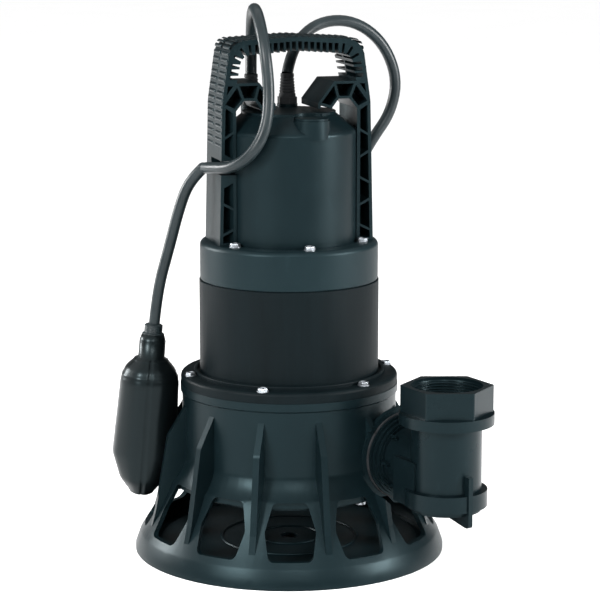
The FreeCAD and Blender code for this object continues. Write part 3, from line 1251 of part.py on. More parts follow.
def make_float():
    """Two hollow shells with a neck, the collar that holds the cable, and the ball under its switch."""
    neck = turned_solid([
        (0, dim.float_shoulder_height), (dim.float_neck_radius, dim.float_shoulder_height),
        (dim.float_neck_radius, dim.float_neck_top), (dim.float_collar_radius + 1.5, dim.float_cone_top),
        (0, dim.float_cone_top),
    ])
    bore = turned_solid([
        (0, dim.float_stem_bottom - 2), (dim.float_neck_bore, dim.float_stem_bottom - 2),
        (dim.float_neck_bore, dim.float_cone_top + 1), (0, dim.float_cone_top + 1),
    ])
    shell = float_loft(as_size(0)).fuse(neck).cut(float_loft(dim.float_wall)).cut(bore)
    reach = 2 * dim.float_belly_width.number
    height = 2 * dim.float_collar_top.number
    for label, start in (("float_shell_left", -reach), ("float_shell_right", 0)):
        side = Part.makeBox(reach, 2 * reach, height, Vector(start, -reach, -1))
        add_shape(label, shell.common(side), float_place())
    stem = dim.float_neck_bore - dim.ball_gap
    hole = dim.cable_radius + dim.ball_gap
    add_shape("float_collar", turned_solid([
        (0, dim.float_stem_bottom), (stem, dim.float_stem_bottom), (stem, dim.float_cone_top),
        (dim.float_collar_radius, dim.float_cone_top), (dim.float_collar_radius - 0.8, dim.float_collar_top),
        (hole, dim.float_collar_top), (hole, dim.float_cable_stop), (0, dim.float_cable_stop),
    ]), float_place())
    switch_bottom = (dim.float_stem_bottom - dim.switch_height).number
    corner_place = Vector(-dim.switch_depth.number / 2, -dim.switch_width.number / 2, switch_bottom)
    add_shape("float_switch", Part.makeBox(dim.switch_depth.number, dim.switch_width.number,
                                           dim.switch_height.number, corner_place), float_place())
    outer = dim.channel_radius + dim.channel_wall
    add_shape("ball_channel", turned_solid([
        (0, dim.channel_bottom), (outer, dim.channel_bottom), (outer, switch_bottom), (0, switch_bottom),
    ]).cut(turned_solid([
        (0, dim.channel_bottom + dim.channel_wall), (dim.channel_radius, dim.channel_bottom + dim.channel_wall),
        (dim.channel_radius, switch_bottom - dim.channel_wall), (0, switch_bottom - dim.channel_wall),
    ])), float_place())
    ball = document.addObject("Part::Sphere", "float_ball")
    bind(ball, "Radius", dim.ball_radius)
    ball.Placement = float_place(dim.channel_bottom + dim.channel_wall + dim.ball_gap + dim.ball_radius)
    parts["float_ball"] = ball


# Cable, cord, coil and plug


def tube(label, points):
    """A round tube along straight runs joined by arcs; prints its radii and its length."""
    radius = dim.cable_radius.number
    edges = []
    radii = []
    place = points[0]
    for before, spot, after in zip(points, points[1:], points[2:]):
        back = before - spot
        ahead = after - spot
        setback = dim.route_share.number * min(back.Length, ahead.Length)
        half_turn = (math.pi - back.getAngle(ahead)) / 2
        bend = setback / math.tan(half_turn)
        back.normalize()
        ahead.normalize()
        start = spot + back * setback
        end = spot + ahead * setback
        inward = (back + ahead).normalize()
        crest = spot + inward * (bend / math.cos(half_turn) - bend)
        edges.append(Part.LineSegment(place, start).toShape())
        edges.append(Part.Arc(start, crest, end).toShape())
        radii.append(round(bend, 1))
        place = end
    edges.append(Part.LineSegment(place, points[-1]).toShape())
    spine = Part.Wire(edges)
    section = Part.Wire([Part.Circle(points[0], points[1] - points[0], radius).toShape()])
    solid = spine.makePipeShell([section], True, False)
    share = solid.Volume / (spine.Length * math.pi * radius ** 2)
    if abs(share - 1) > 0.01:
        raise RuntimeError(f"{label} encloses {share:.3f} of its section times its length")
    print(f"{label}: {spine.Length:.0f} mm long, bends {radii} mm")
    return solid


def swing_point():
    """Where the float's cable bends as the float swings, just outside the notch."""
    return Vector(-74, 6, 335.3)


def relief_tip(across, back):
    top = dim.gland_boss_top + dim.gland_nut_height + dim.relief_height
    return Vector(across.number, back.number, top.number)


def make_float_cable():
    """The fixed run over the grip and through the notch, and the run that hangs from there."""
    route = [
        relief_tip(dim.float_gland_across, dim.float_gland_back),
        Vector(-22, 42, 444), Vector(-27, 18, 470), Vector(-33, -22, 468), Vector(-33.5, -47, 440),
        Vector(-30.7, -51, 404.5), Vector(-34.5, -57, 375), Vector(-45.9, -55, 353.3), Vector(-60, -40, 340),
        Vector(-70.4, -12, 337.6),
    ]
    bend = swing_point()
    approach = (route[-1] - bend).normalize()
    route.append(bend + approach * (dim.cable_radius + dim.joint_gap).number)
    add_shape("float_cable_fixed", tube("float_cable_fixed", route))
    place = float_place()
    lead = [place.multVec(Vector(0, 0, height)) for height in (dim.float_collar_top.number + 25,
                                                               dim.float_cable_stop.number)]
    hanging = [bend, Vector(-84.2, 13, 324), Vector(-92, 18.8, 300.6), Vector(-99.4, 23.9, 268)] + lead
    knuckle = Part.makeSphere(dim.cable_radius.number, bend)
    add_shape("float_cable_hanging", tube("float_cable_hanging", hanging).fuse(knuckle).removeSplitter())


def yard(across, back, height):
    """A place on the ground behind the pump, counted from the coil's middle along the yard's own axes."""
    turn = Rotation(Vector(0, 0, 1), -dim.yard_turn.number)
    return turn.multVec(Vector(across, dim.coil_distance.number + back, height))


def make_power_cord():
    """The cord from its gland over and down behind the pump to the coil, and the tail to the plug."""
    top = dim.tie_thickness + (dim.coil_layers - 0.5) * 2 * dim.cable_radius
    add_shape("power_cord", tube("power_cord", [
        relief_tip(dim.power_gland_across, dim.power_gland_back),
        Vector(14, 41, 433), Vector(38, 49, 454), Vector(72, 53, 456), Vector(101, 56, 437),
        Vector(116, 57, 404), Vector(110, 56.5, 373), Vector(92, 54, 350), Vector(81.3, 68.8, 322),
        Vector(72.2, 92, 270), Vector(73.3, 114.6, 205), Vector(76.7, 134.4, 135), Vector(95, 150, 85),
        Vector(128, 172, 56), Vector(150.5, 204, top.number - 1),
    ]))
    axis = dim.tie_thickness + dim.coil_layers * 2 * dim.cable_radius + dim.plug_radius
    back = -dim.plug_offset.number
    grip_end = dim.plug_start.number
    height = axis.number
    add_shape("cord_tail", tube("cord_tail", [
        yard(-62, 15, top.number), yard(-63, -18, height - 18), yard(-55, -47, height - 8),
        yard(-32, -64, height - 1), yard(grip_end, back, height),
    ]))
    half_width = dim.coil_columns * dim.cable_radius
    coil_height = dim.coil_layers * 2 * dim.cable_radius
    middle = Placement(yard(0, 0, 0), Rotation(Vector(0, 0, 1), -dim.yard_turn.number))
    add_shape("cord_coil", turned_solid([
        (dim.coil_radius - half_width, dim.tie_thickness), (dim.coil_radius + half_width, dim.tie_thickness),
        (dim.coil_radius + half_width, dim.tie_thickness + coil_height),
        (dim.coil_radius - half_width, dim.tie_thickness + coil_height),
    ]), middle)
    wide = 2 * half_width + 2 * dim.tie_gap
    tall = coil_height + 2 * dim.tie_gap
    rim = dim.tie_thickness.number
    width = dim.tie_width.number
    start = (dim.coil_radius - half_width - dim.tie_gap).number
    ties = []
    for angle in (dim.tie_angle, dim.tie_angle + dim.tie_pitch, dim.tie_angle + 2 * dim.tie_pitch):
        hollow = Part.makeBox(wide.number, 2 * width, tall.number - dim.tie_gap.number,
                              Vector(start, -width, rim))
        band = Part.makeBox(wide.number + 2 * rim, width, tall.number + 2 * rim - dim.tie_gap.number,
                            Vector(start - rim, -width / 2, 0)).cut(hollow)
        band.rotate(Vector(0, 0, 0), Vector(0, 0, 1), angle.number)
        ties.append(band)
    add_shape("coil_ties", Part.makeCompound(ties), middle)
    ahead = Rotation(Vector(0, 0, 1), -dim.yard_turn.number) * Rotation(Vector(0, 1, 0), 90)
    place = Placement(yard(grip_end, back, height), ahead)
    face = dim.plug_length - dim.plug_face_length
    add_shape("plug_body", turned_solid([
        (0, 0), (dim.relief_tip_radius, 0), (dim.relief_foot_radius + 1, face * 0.6),
        (dim.plug_grip_radius, face * 0.75), (dim.plug_radius - 1.5, face), (dim.plug_radius, face + 2),
        (dim.plug_radius, dim.plug_length - 1), (dim.plug_radius - 1, dim.plug_length), (0, dim.plug_length),
    ]), place)
    pins = []
    for side in (-1, 1):
        foot = Vector(0, side * dim.plug_pin_spacing.number / 2, dim.plug_length.number)
        pins.append(Part.makeCylinder(dim.plug_pin_radius.number, dim.plug_pin_length.number, foot))
    add_shape("plug_pins", Part.makeCompound(pins), place)


def write_parts():
    """Checks every object and writes each sub-part's shape to its own file."""
    document.recompute()
    failed = [item.Label for item in document.Objects if "Invalid" in item.State or "Error" in item.State]
    if failed:
        raise RuntimeError(f"objects failed: {failed}")
    for item in document.Objects:
        if item.TypeId in ("PartDesign::Pocket", "PartDesign::Groove"):
            if item.Shape.Volume >= item.BaseFeature.Shape.Volume - 1e-6:
                raise RuntimeError(f"{item.Label} cuts nothing")
    os.makedirs("parts", exist_ok=True)
    for label, part in parts.items():
        shape = part.Shape
        if shape.isNull() or not shape.isValid():
            raise RuntimeError(f"{label} has no valid shape")
        shape.exportStep(os.path.join("parts", f"{label}.step"))
        print(f"{label}: {len(shape.Solids)} solid(s), {shape.Volume / 1000:.1f} cm3")


make_pump_body()
make_foot_plate()
make_suction_plate()
make_outlet_seal()
make_outlet_elbow()
make_impeller()
make_shaft()
make_key()
make_nut()
make_seals()
make_motor()
make_casing()
make_cover()
make_cap()
make_glands()
make_cap_contents()
make_screws()
make_handle()
make_float()
make_float_cable()
make_power_cord()
write_parts()
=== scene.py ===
"""The looks of a submersible drainage pump with a float switch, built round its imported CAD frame.

Lengths are in metres unless a name says otherwise. The frame's origin is on the pump's axis, in the plane
of its foot, +Z is up, and -Y is the front of the handle.
"""
from __future__ import annotations

import json
import logging
import math
from dataclasses import dataclass
from enum import Enum

import bmesh
import bpy
import numpy as np
from mathutils import Matrix, Vector

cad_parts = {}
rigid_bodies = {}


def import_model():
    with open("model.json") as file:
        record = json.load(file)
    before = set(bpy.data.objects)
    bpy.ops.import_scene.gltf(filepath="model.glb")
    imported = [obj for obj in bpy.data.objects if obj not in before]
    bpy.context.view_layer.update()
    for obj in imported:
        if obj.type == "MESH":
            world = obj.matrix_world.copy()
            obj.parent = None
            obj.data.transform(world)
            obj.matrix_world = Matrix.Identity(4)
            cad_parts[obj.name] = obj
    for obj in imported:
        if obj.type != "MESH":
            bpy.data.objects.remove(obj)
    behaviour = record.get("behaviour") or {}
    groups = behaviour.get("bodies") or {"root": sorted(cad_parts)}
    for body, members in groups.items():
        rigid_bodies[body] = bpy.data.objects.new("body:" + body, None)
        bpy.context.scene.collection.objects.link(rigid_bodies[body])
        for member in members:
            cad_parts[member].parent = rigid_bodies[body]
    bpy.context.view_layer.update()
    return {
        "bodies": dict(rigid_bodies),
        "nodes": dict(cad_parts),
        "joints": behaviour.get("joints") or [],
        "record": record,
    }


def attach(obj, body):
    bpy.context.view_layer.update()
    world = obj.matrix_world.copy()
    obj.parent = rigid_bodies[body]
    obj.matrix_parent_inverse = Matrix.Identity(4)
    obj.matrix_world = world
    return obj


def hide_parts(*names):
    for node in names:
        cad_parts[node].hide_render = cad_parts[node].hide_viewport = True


LOG = logging.getLogger("drainage_pump")
MM = 0.001
CORD_DIAMETER = 9.8 * MM
# The yard is the ground round the pump, turned to face the camera.
YARD_TURN = math.radians(15.5)
Triple = tuple[float, float, float]


# Shader arithmetic


class Operation(Enum):
    """What a Math node does with its two values."""

    ADD = "ADD"
    SUBTRACT = "SUBTRACT"
    MULTIPLY = "MULTIPLY"


class Signal:
    """A value of a material's node tree that takes part in ordinary arithmetic."""

    def __init__(self, recipe: "Recipe", socket: bpy.types.NodeSocket) -> None:
        """Keep the recipe and the socket that gives the value."""
        self.recipe = recipe
        self.socket = socket

    def combine(self, operation: Operation, other: "Signal | float", swapped: bool = False) -> "Signal":
        """Join this value and another with one Math node.

        Args:
            operation: the Math node's operation.
            other: the other value.
            swapped: whether the other value comes first.

        Returns:
            The result as a value.
        """
        pair = (other, self) if swapped else (self, other)
        settings = {"operation": operation.value}
        node = self.recipe.node("ShaderNodeMath", settings, {0: pair[0], 1: pair[1]})
        return Signal(self.recipe, node.outputs[0])

    def __add__(self, other: "Signal | float") -> "Signal":
        """Sum."""
        return self.combine(Operation.ADD, other)

    __radd__ = __add__

    def __sub__(self, other: "Signal | float") -> "Signal":
        """Difference."""
        return self.combine(Operation.SUBTRACT, other)

    def __rsub__(self, other: "Signal | float") -> "Signal":
        """Difference with this value taken away."""
        return self.combine(Operation.SUBTRACT, other, swapped=True)

    def __mul__(self, other: "Signal | float") -> "Signal":
        """Product."""
        return self.combine(Operation.MULTIPLY, other)

    __rmul__ = __mul__


class Recipe:
    """Builds one node-based material."""

    def __init__(self, name: str) -> None:
        """Start an empty material with a Principled shader.

        Args:
            name: the material's name.
        """
        self.material = bpy.data.materials.new(name)
        self.material.use_nodes = True
        self.tree = self.material.node_tree
        self.tree.nodes.clear()
        self.shader = self.node("ShaderNodeBsdfPrincipled", {}, {})
        output = self.node("ShaderNodeOutputMaterial", {}, {})
        self.tree.links.new(self.shader.outputs[0], output.inputs[0])

    def feed(self, socket: bpy.types.NodeSocket, value: object) -> None:
        """Link a socket to a Signal or another socket, or set it to a plain value.

        Args:
            socket: the input to feed.
            value: what feeds it.
        """
        if isinstance(value, Signal):
            value = value.socket
        if isinstance(value, bpy.types.NodeSocket):
            self.tree.links.new(value, socket)
        else:
            socket.default_value = value

    def node(self, kind: str, settings: dict, sockets: dict) -> bpy.types.Node:
        """Make one node.

        Args:
            kind: the node's type.
            settings: its properties, set before its sockets; "stops" fills a ramp with (place, level) pairs.
            sockets: values, Signals or sockets by input name or number.

        Returns:
            The node.
        """
        node = self.tree.nodes.new(kind)
        for name, value in settings.items():
            if name == "stops":
                ramp = node.color_ramp.elements
                for stop, (place, level) in zip(ramp, (value[0], value[-1])):
                    stop.position, stop.color = place, (level, level, level, 1)
                for place, level in value[1:-1]:
                    ramp.new(place).color = (level, level, level, 1)
            else:
                setattr(node, name, value)
        for name, value in sockets.items():
            self.feed(node.inputs[name], value)
        return node

    def place(self, stretch: Triple) -> bpy.types.NodeSocket:
        """Coordinates for a pattern, in metres, stretched along the axes.

        Args:
            stretch: how many times closer the pattern is along each axis.

        Returns:
            The coordinates' socket.
        """
        source = self.node("ShaderNodeTexCoord", {}, {})
        mapping = self.node("ShaderNodeMapping", {"vector_type": "POINT"},
                            {"Vector": source.outputs["Object"], "Scale": stretch})
        return mapping.outputs[0]

    def noise(self, scale: float, detail: float, stretch: Triple = (1, 1, 1)) -> Signal:
        """Smooth random levels, about 0.5 on average.

        Args:
            scale: how many features there are to the metre.
            detail: how many finer layers are added.
            stretch: how many times closer the features are along each axis.

        Returns:
            The level.
        """
        sockets = {"Vector": self.place(stretch), "Scale": scale, "Detail": detail}
        return Signal(self, self.node("ShaderNodeTexNoise", {}, sockets).outputs[0])

    def shaped(self, value: Signal, stops: tuple[tuple[float, float], ...]) -> Signal:
        """The value passed through a ramp of (place, level) stops."""
        node = self.node("ShaderNodeValToRGB", {"stops": stops}, {0: value})
        return Signal(self, node.outputs[0])

    def blend(self, factor: Signal, dark: Triple, light: Triple) -> bpy.types.NodeSocket:
        """A colour between two, as the factor goes from 0 to 1."""
        sockets = {"Factor": factor, 6: (*dark, 1), 7: (*light, 1)}
        return self.node("ShaderNodeMix", {"data_type": "RGBA"}, sockets).outputs[2]

    def bump(self, height: Signal, distance: float) -> None:
        """Feed the shader's Normal from a height in units of the distance, in metres."""
        node = self.node("ShaderNodeBump", {}, {"Height": height, "Distance": distance, "Strength": 1.0})
        self.tree.links.new(node.outputs[0], self.shader.inputs["Normal"])

    def set(self, **values: object) -> None:
        """Set the shader's own sockets, by name with underscores for spaces."""
        for name, value in values.items():
            self.feed(self.shader.inputs[name.replace("_", " ")], value)


# Finishes


@dataclass(frozen=True)
class MouldedPlastic:
    """Dark moulded technopolymer: faint flow marks, a fine grain and handling marks in its gloss."""

    name: str
    dark: Triple
    light: Triple
    roughness: float = 0.42
    spread: float = 0.14
    grain: float = 1500.0
    grain_depth: float = 0.00004
    flow: float = 9.0
    coat: float = 0.0
    gloss: float = 0.13

    def build(self) -> bpy.types.Material:
        """The material."""
        recipe = Recipe(self.name)
        flow = recipe.noise(self.flow, 4, (1, 1, 0.45))
        smudge = recipe.noise(34, 5)
        scuffs = recipe.shaped(recipe.noise(210, 2, (1, 1, 0.3)), ((0.0, 0.0), (0.62, 0.0), (0.78, 1.0)))
        grain = recipe.noise(self.grain, 2)
        recipe.set(Base_Color=recipe.blend(flow * 0.7 + scuffs * 0.22 + smudge * 0.1, self.dark, self.light))
        recipe.set(Roughness=self.roughness + (smudge - 0.5) * self.spread + scuffs * 0.06)
        recipe.set(IOR=1.5, Specular_IOR_Level=self.gloss, Coat_Weight=self.coat, Coat_Roughness=0.25,
                   Specular_Tint=(0.62, 0.92, 1.0, 1))
        recipe.bump(grain + smudge * 0.8, self.grain_depth)
        return recipe.material


@dataclass(frozen=True)
class DrawnPlastic:
    """The motor casing's matt plastic, with fine upright lines from its mould."""

    name: str
    dark: Triple
    light: Triple

    def build(self) -> bpy.types.Material:
        """The material."""
        recipe = Recipe(self.name)
        lines = recipe.noise(520, 3, (1, 1, 0.03))
        broad = recipe.noise(60, 4, (1, 1, 0.12))
        cloth = recipe.noise(900, 2, (1, 1, 0.6))
        recipe.set(Base_Color=recipe.blend(lines * 0.35 + broad * 0.45 + cloth * 0.2, self.dark, self.light))
        recipe.set(Roughness=0.5 + (broad - 0.5) * 0.2 + (lines - 0.5) * 0.12, IOR=1.47,
                   Specular_IOR_Level=0.06)
        recipe.bump(lines * 0.7 + cloth * 0.6 + broad * 0.5, 0.00009)
        return recipe.material


@dataclass(frozen=True)
class CordSheath:
    """A smooth rubber sheath, with a faint bloom and rubbed patches along its length."""

    name: str
    dark: Triple = (0.0030, 0.0060, 0.0070)
    light: Triple = (0.0160, 0.0240, 0.0270)

    def build(self) -> bpy.types.Material:
        """The material."""
        recipe = Recipe(self.name)
        bloom = recipe.noise(45, 4)
        rubbed = recipe.shaped(recipe.noise(160, 3), ((0.0, 0.0), (0.55, 0.0), (0.8, 1.0)))
        recipe.set(Base_Color=recipe.blend(bloom * 0.75 + rubbed * 0.2, self.dark, self.light))
        recipe.set(Roughness=0.36 + (bloom - 0.5) * 0.16 + rubbed * 0.08, IOR=1.5,
                   Specular_IOR_Level=0.2)
        recipe.bump(recipe.noise(1100, 2) + bloom, 0.00003)
        return recipe.material


@dataclass(frozen=True)
class SoftRubber:
    """Matt seal rubber, slightly dusty."""

    name: str
    dark: Triple = (0.008, 0.009, 0.010)
    light: Triple = (0.028, 0.030, 0.032)

    def build(self) -> bpy.types.Material:
        """The material."""
        recipe = Recipe(self.name)
        dust = recipe.noise(120, 5)
        recipe.set(Base_Color=recipe.blend(dust, self.dark, self.light))
        recipe.set(Roughness=0.6 + (dust - 0.5) * 0.2, Specular_IOR_Level=0.12)
        recipe.bump(recipe.noise(1800, 2) + dust, 0.00004)
        return recipe.material


@dataclass(frozen=True)
class Metal:
    """Bare or plated metal with machining lines along an axis and uneven gloss."""

    name: str
    dark: Triple
    light: Triple
    roughness: float = 0.28
    lines: Triple = (1, 1, 12)
    depth: float = 0.00003

    def build(self) -> bpy.types.Material:
        """The material."""
        recipe = Recipe(self.name)
        marks = recipe.noise(220, 4, self.lines)
        tarnish = recipe.noise(70, 5)
        recipe.set(Base_Color=recipe.blend(marks * 0.5 + tarnish * 0.5, self.dark, self.light), Metallic=1.0)
        recipe.set(Roughness=self.roughness + (tarnish - 0.5) * 0.2 + (marks - 0.5) * 0.1)
        recipe.bump(marks, self.depth)
        return recipe.material


@dataclass(frozen=True)
class WoundCopper:
    """Varnished winding: fine strands that run round the motor's axis."""

    name: str

    def build(self) -> bpy.types.Material:
        """The material."""
        recipe = Recipe(self.name)
        strands = recipe.noise(700, 2, (0.25, 0.25, 2.2))
        varnish = recipe.noise(50, 4)
        recipe.set(Base_Color=recipe.blend(strands * 0.6 + varnish * 0.4, (0.16, 0.045, 0.015),
                                           (0.62, 0.24, 0.09)))
        recipe.set(Metallic=0.85, Roughness=0.35 + (varnish - 0.5) * 0.3)
        recipe.bump(strands, 0.0004)
        return recipe.material


@dataclass(frozen=True)
class Laminations:
    """Stacked sheet steel, a line to each sheet."""

    name: str

    def build(self) -> bpy.types.Material:
        """The material."""
        recipe = Recipe(self.name)
        sheets = recipe.noise(900, 1, (0.02, 0.02, 1))
        rust = recipe.noise(80, 5)
        recipe.set(Base_Color=recipe.blend(sheets * 0.5 + rust * 0.5, (0.06, 0.06, 0.065),
                                           (0.26, 0.25, 0.25)))
        recipe.set(Metallic=0.8, Roughness=0.5 + (rust - 0.5) * 0.2)
        recipe.bump(sheets, 0.0002)
        return recipe.material


@dataclass(frozen=True)
class PalePlastic:
    """Light insulating plastic or ceramic with a faint mottle."""

    name: str
    dark: Triple = (0.62, 0.61, 0.57)
    light: Triple = (0.78, 0.77, 0.73)
    roughness: float = 0.35

    def build(self) -> bpy.types.Material:
        """The material."""
        recipe = Recipe(self.name)
        mottle = recipe.noise(90, 5)
        recipe.set(Base_Color=recipe.blend(mottle, self.dark, self.light))
        recipe.set(Roughness=self.roughness + (mottle - 0.5) * 0.2)
        recipe.bump(recipe.noise(1500, 2), 0.00003)
        return recipe.material


class Finishes:
    """Every finish of the pump, built once."""

    def __init__(self) -> None:
        """Build the materials."""
        self.housing = MouldedPlastic("technopolymer", (0.0006, 0.0021, 0.0027), (0.0048, 0.0110, 0.0134),
                                      roughness=0.36).build()
        self.band = MouldedPlastic("technopolymer_band", (0.0012, 0.0038, 0.0047), (0.0070, 0.0140, 0.0168),
                                   roughness=0.42).build()
        self.handle = MouldedPlastic("handle_polymer", (0.0005, 0.0020, 0.0026), (0.0045, 0.0098, 0.0118),
                                     roughness=0.4).build()
        self.elbow = MouldedPlastic("elbow_polymer", (0.0005, 0.0016, 0.0021), (0.0038, 0.0082, 0.0100),
                                    roughness=0.3).build()
        self.floats = MouldedPlastic("float_polymer", (0.0006, 0.0010, 0.0012), (0.0040, 0.0055, 0.0060),
                                     roughness=0.34, coat=0.08).build()
        self.casing = DrawnPlastic("casing_polymer", (0.0003, 0.0012, 0.0016),
                                   (0.0030, 0.0066, 0.0080)).build()
        self.sheath = CordSheath("cord_sheath").build()
        self.rubber = SoftRubber("seal_rubber").build()
        self.zinc = Metal("zinc_plate", (0.20, 0.22, 0.24), (0.44, 0.47, 0.50), 0.36, (1, 1, 1)).build()
        self.steel = Metal("ground_steel", (0.42, 0.42, 0.43), (0.62, 0.62, 0.63)).build()
        self.brackets = Metal("cast_aluminium", (0.42, 0.43, 0.44), (0.62, 0.63, 0.64), 0.5, (1, 1, 1),
                              0.00015).build()
        self.laminations = Laminations("laminations").build()
        self.copper = WoundCopper("wound_copper").build()
        self.ceramic = PalePlastic("lapped_ceramic", roughness=0.2).build()
        self.pale = PalePlastic("insulating_plastic").build()
        self.pins = Metal("plug_pins", (0.55, 0.45, 0.25), (0.80, 0.70, 0.48), 0.25).build()


# Meshes


def smooth_step(value: np.ndarray | float) -> np.ndarray | float:
    """The cubic 3t^2 - 2t^3 of a value held between 0 and 1."""
    held = np.clip(value, 0.0, 1.0)
    return held * held * (3 - 2 * held)


def mesh_piece(name: str, points: np.ndarray, faces: list, finish: bpy.types.Material,
               smooth: bool = True) -> bpy.types.Object:
    """Make a shown mesh whose faces point outwards.

    Args:
        name: the piece's name.
        points: its vertices, one row each.
        faces: its faces as rows of vertex numbers.
        finish: its material.
        smooth: whether its faces are shaded smooth.

    Returns:
        The object, at the origin.
    """
    mesh = bpy.data.meshes.new(name)
    mesh.from_pydata(points.reshape(-1, 3).tolist(), [], [list(map(int, face)) for face in faces])
    shell = bmesh.new()
    shell.from_mesh(mesh)
    bmesh.ops.remove_doubles(shell, verts=shell.verts, dist=1e-7)
    bmesh.ops.recalc_face_normals(shell, faces=shell.faces)
    shell.to_mesh(mesh)
    shell.free()
    mesh.polygons.foreach_set("use_smooth", [smooth] * len(mesh.polygons))
    mesh.materials.append(finish)
    piece = bpy.data.objects.new(name, mesh)
    bpy.context.scene.collection.objects.link(piece)
    LOG.info("%s: %d faces", name, len(mesh.polygons))
    return piece


def grid_faces(rows: int, columns: int, round_columns: bool = True, round_rows: bool = False,
               capped: bool = False) -> list:
    """Quads over a grid of points numbered row by row.

    Args:
        rows: how many rows of points there are.
        columns: how many points a row has.
        round_columns: whether each row closes on itself.
        round_rows: whether the last row joins the first.
        capped: whether the first and last rows are closed with one face each.

    Returns:
        The faces.
    """
    across = np.arange(columns if round_columns else columns - 1)
    down = np.arange(rows if round_rows else rows - 1)
    row, column = np.meshgrid(down, across, indexing="ij")
    after = (column + 1) % columns
    below = (row + 1) % rows
    quads = np.stack([row * columns + column, row * columns + after, below * columns + after,
                      below * columns + column], axis=-1).reshape(-1, 4)
    faces = quads.tolist()
    if capped:
        faces.append(list(range(columns))[::-1])
        faces.append([(rows - 1) * columns + index for index in range(columns)])
    return faces


def copied_faces(faces: list, copies: int, size: int) -> list:
    """The faces of equal grids whose points follow one another.

    Args:
        faces: the faces of one grid.
        copies: how many grids there are.
        size: how many points a grid has.

    Returns:
        The faces of all of them.
    """
    return [[index + copy * size for index in face] for copy in range(copies) for face in faces]


def turned_points(profile: list[tuple[float, float]], steps: int = 48) -> np.ndarray:
    """Points of a turned surface: each (radius, height) goes round the axis as (r cos a, r sin a, z).

    Args:
        profile: the surface's outline as (radius, height) pairs.
        steps: how many points each goes round in.

    Returns:
        The points, a row to each pair.
    """
    radii, heights = np.array(profile, float).T
    angles = np.linspace(0, 2 * math.pi, steps, endpoint=False)
    return np.stack([radii[:, None] * np.cos(angles), radii[:, None] * np.sin(angles),
                     np.repeat(heights[:, None], steps, axis=1)], axis=-1)


def moved(points: np.ndarray, matrix: Matrix) -> np.ndarray:
    """The points carried by a placement matrix."""
    table = np.array(matrix)
    return points @ table[:3, :3].T + table[:3, 3]


def soften(piece: bpy.types.Object, width: float = 0.4 * MM, segments: int = 2) -> None:
    """Weld a piece's loose triangles, round its sharp edges and even out its shading.

    Args:
        piece: the piece.
        width: how wide the rounding is.
        segments: how many faces make the rounding.
    """
    weld = piece.modifiers.new("weld", "WELD")
    weld.merge_threshold = 1e-6
    bevel = piece.modifiers.new("bevel", "BEVEL")
    bevel.width = width
    bevel.segments = segments
    bevel.limit_method = "ANGLE"
    bevel.angle_limit = math.radians(32)
    bevel.use_clamp_overlap = True
    even = piece.modifiers.new("even", "WEIGHTED_NORMAL")
    even.keep_sharp = True


# Studio


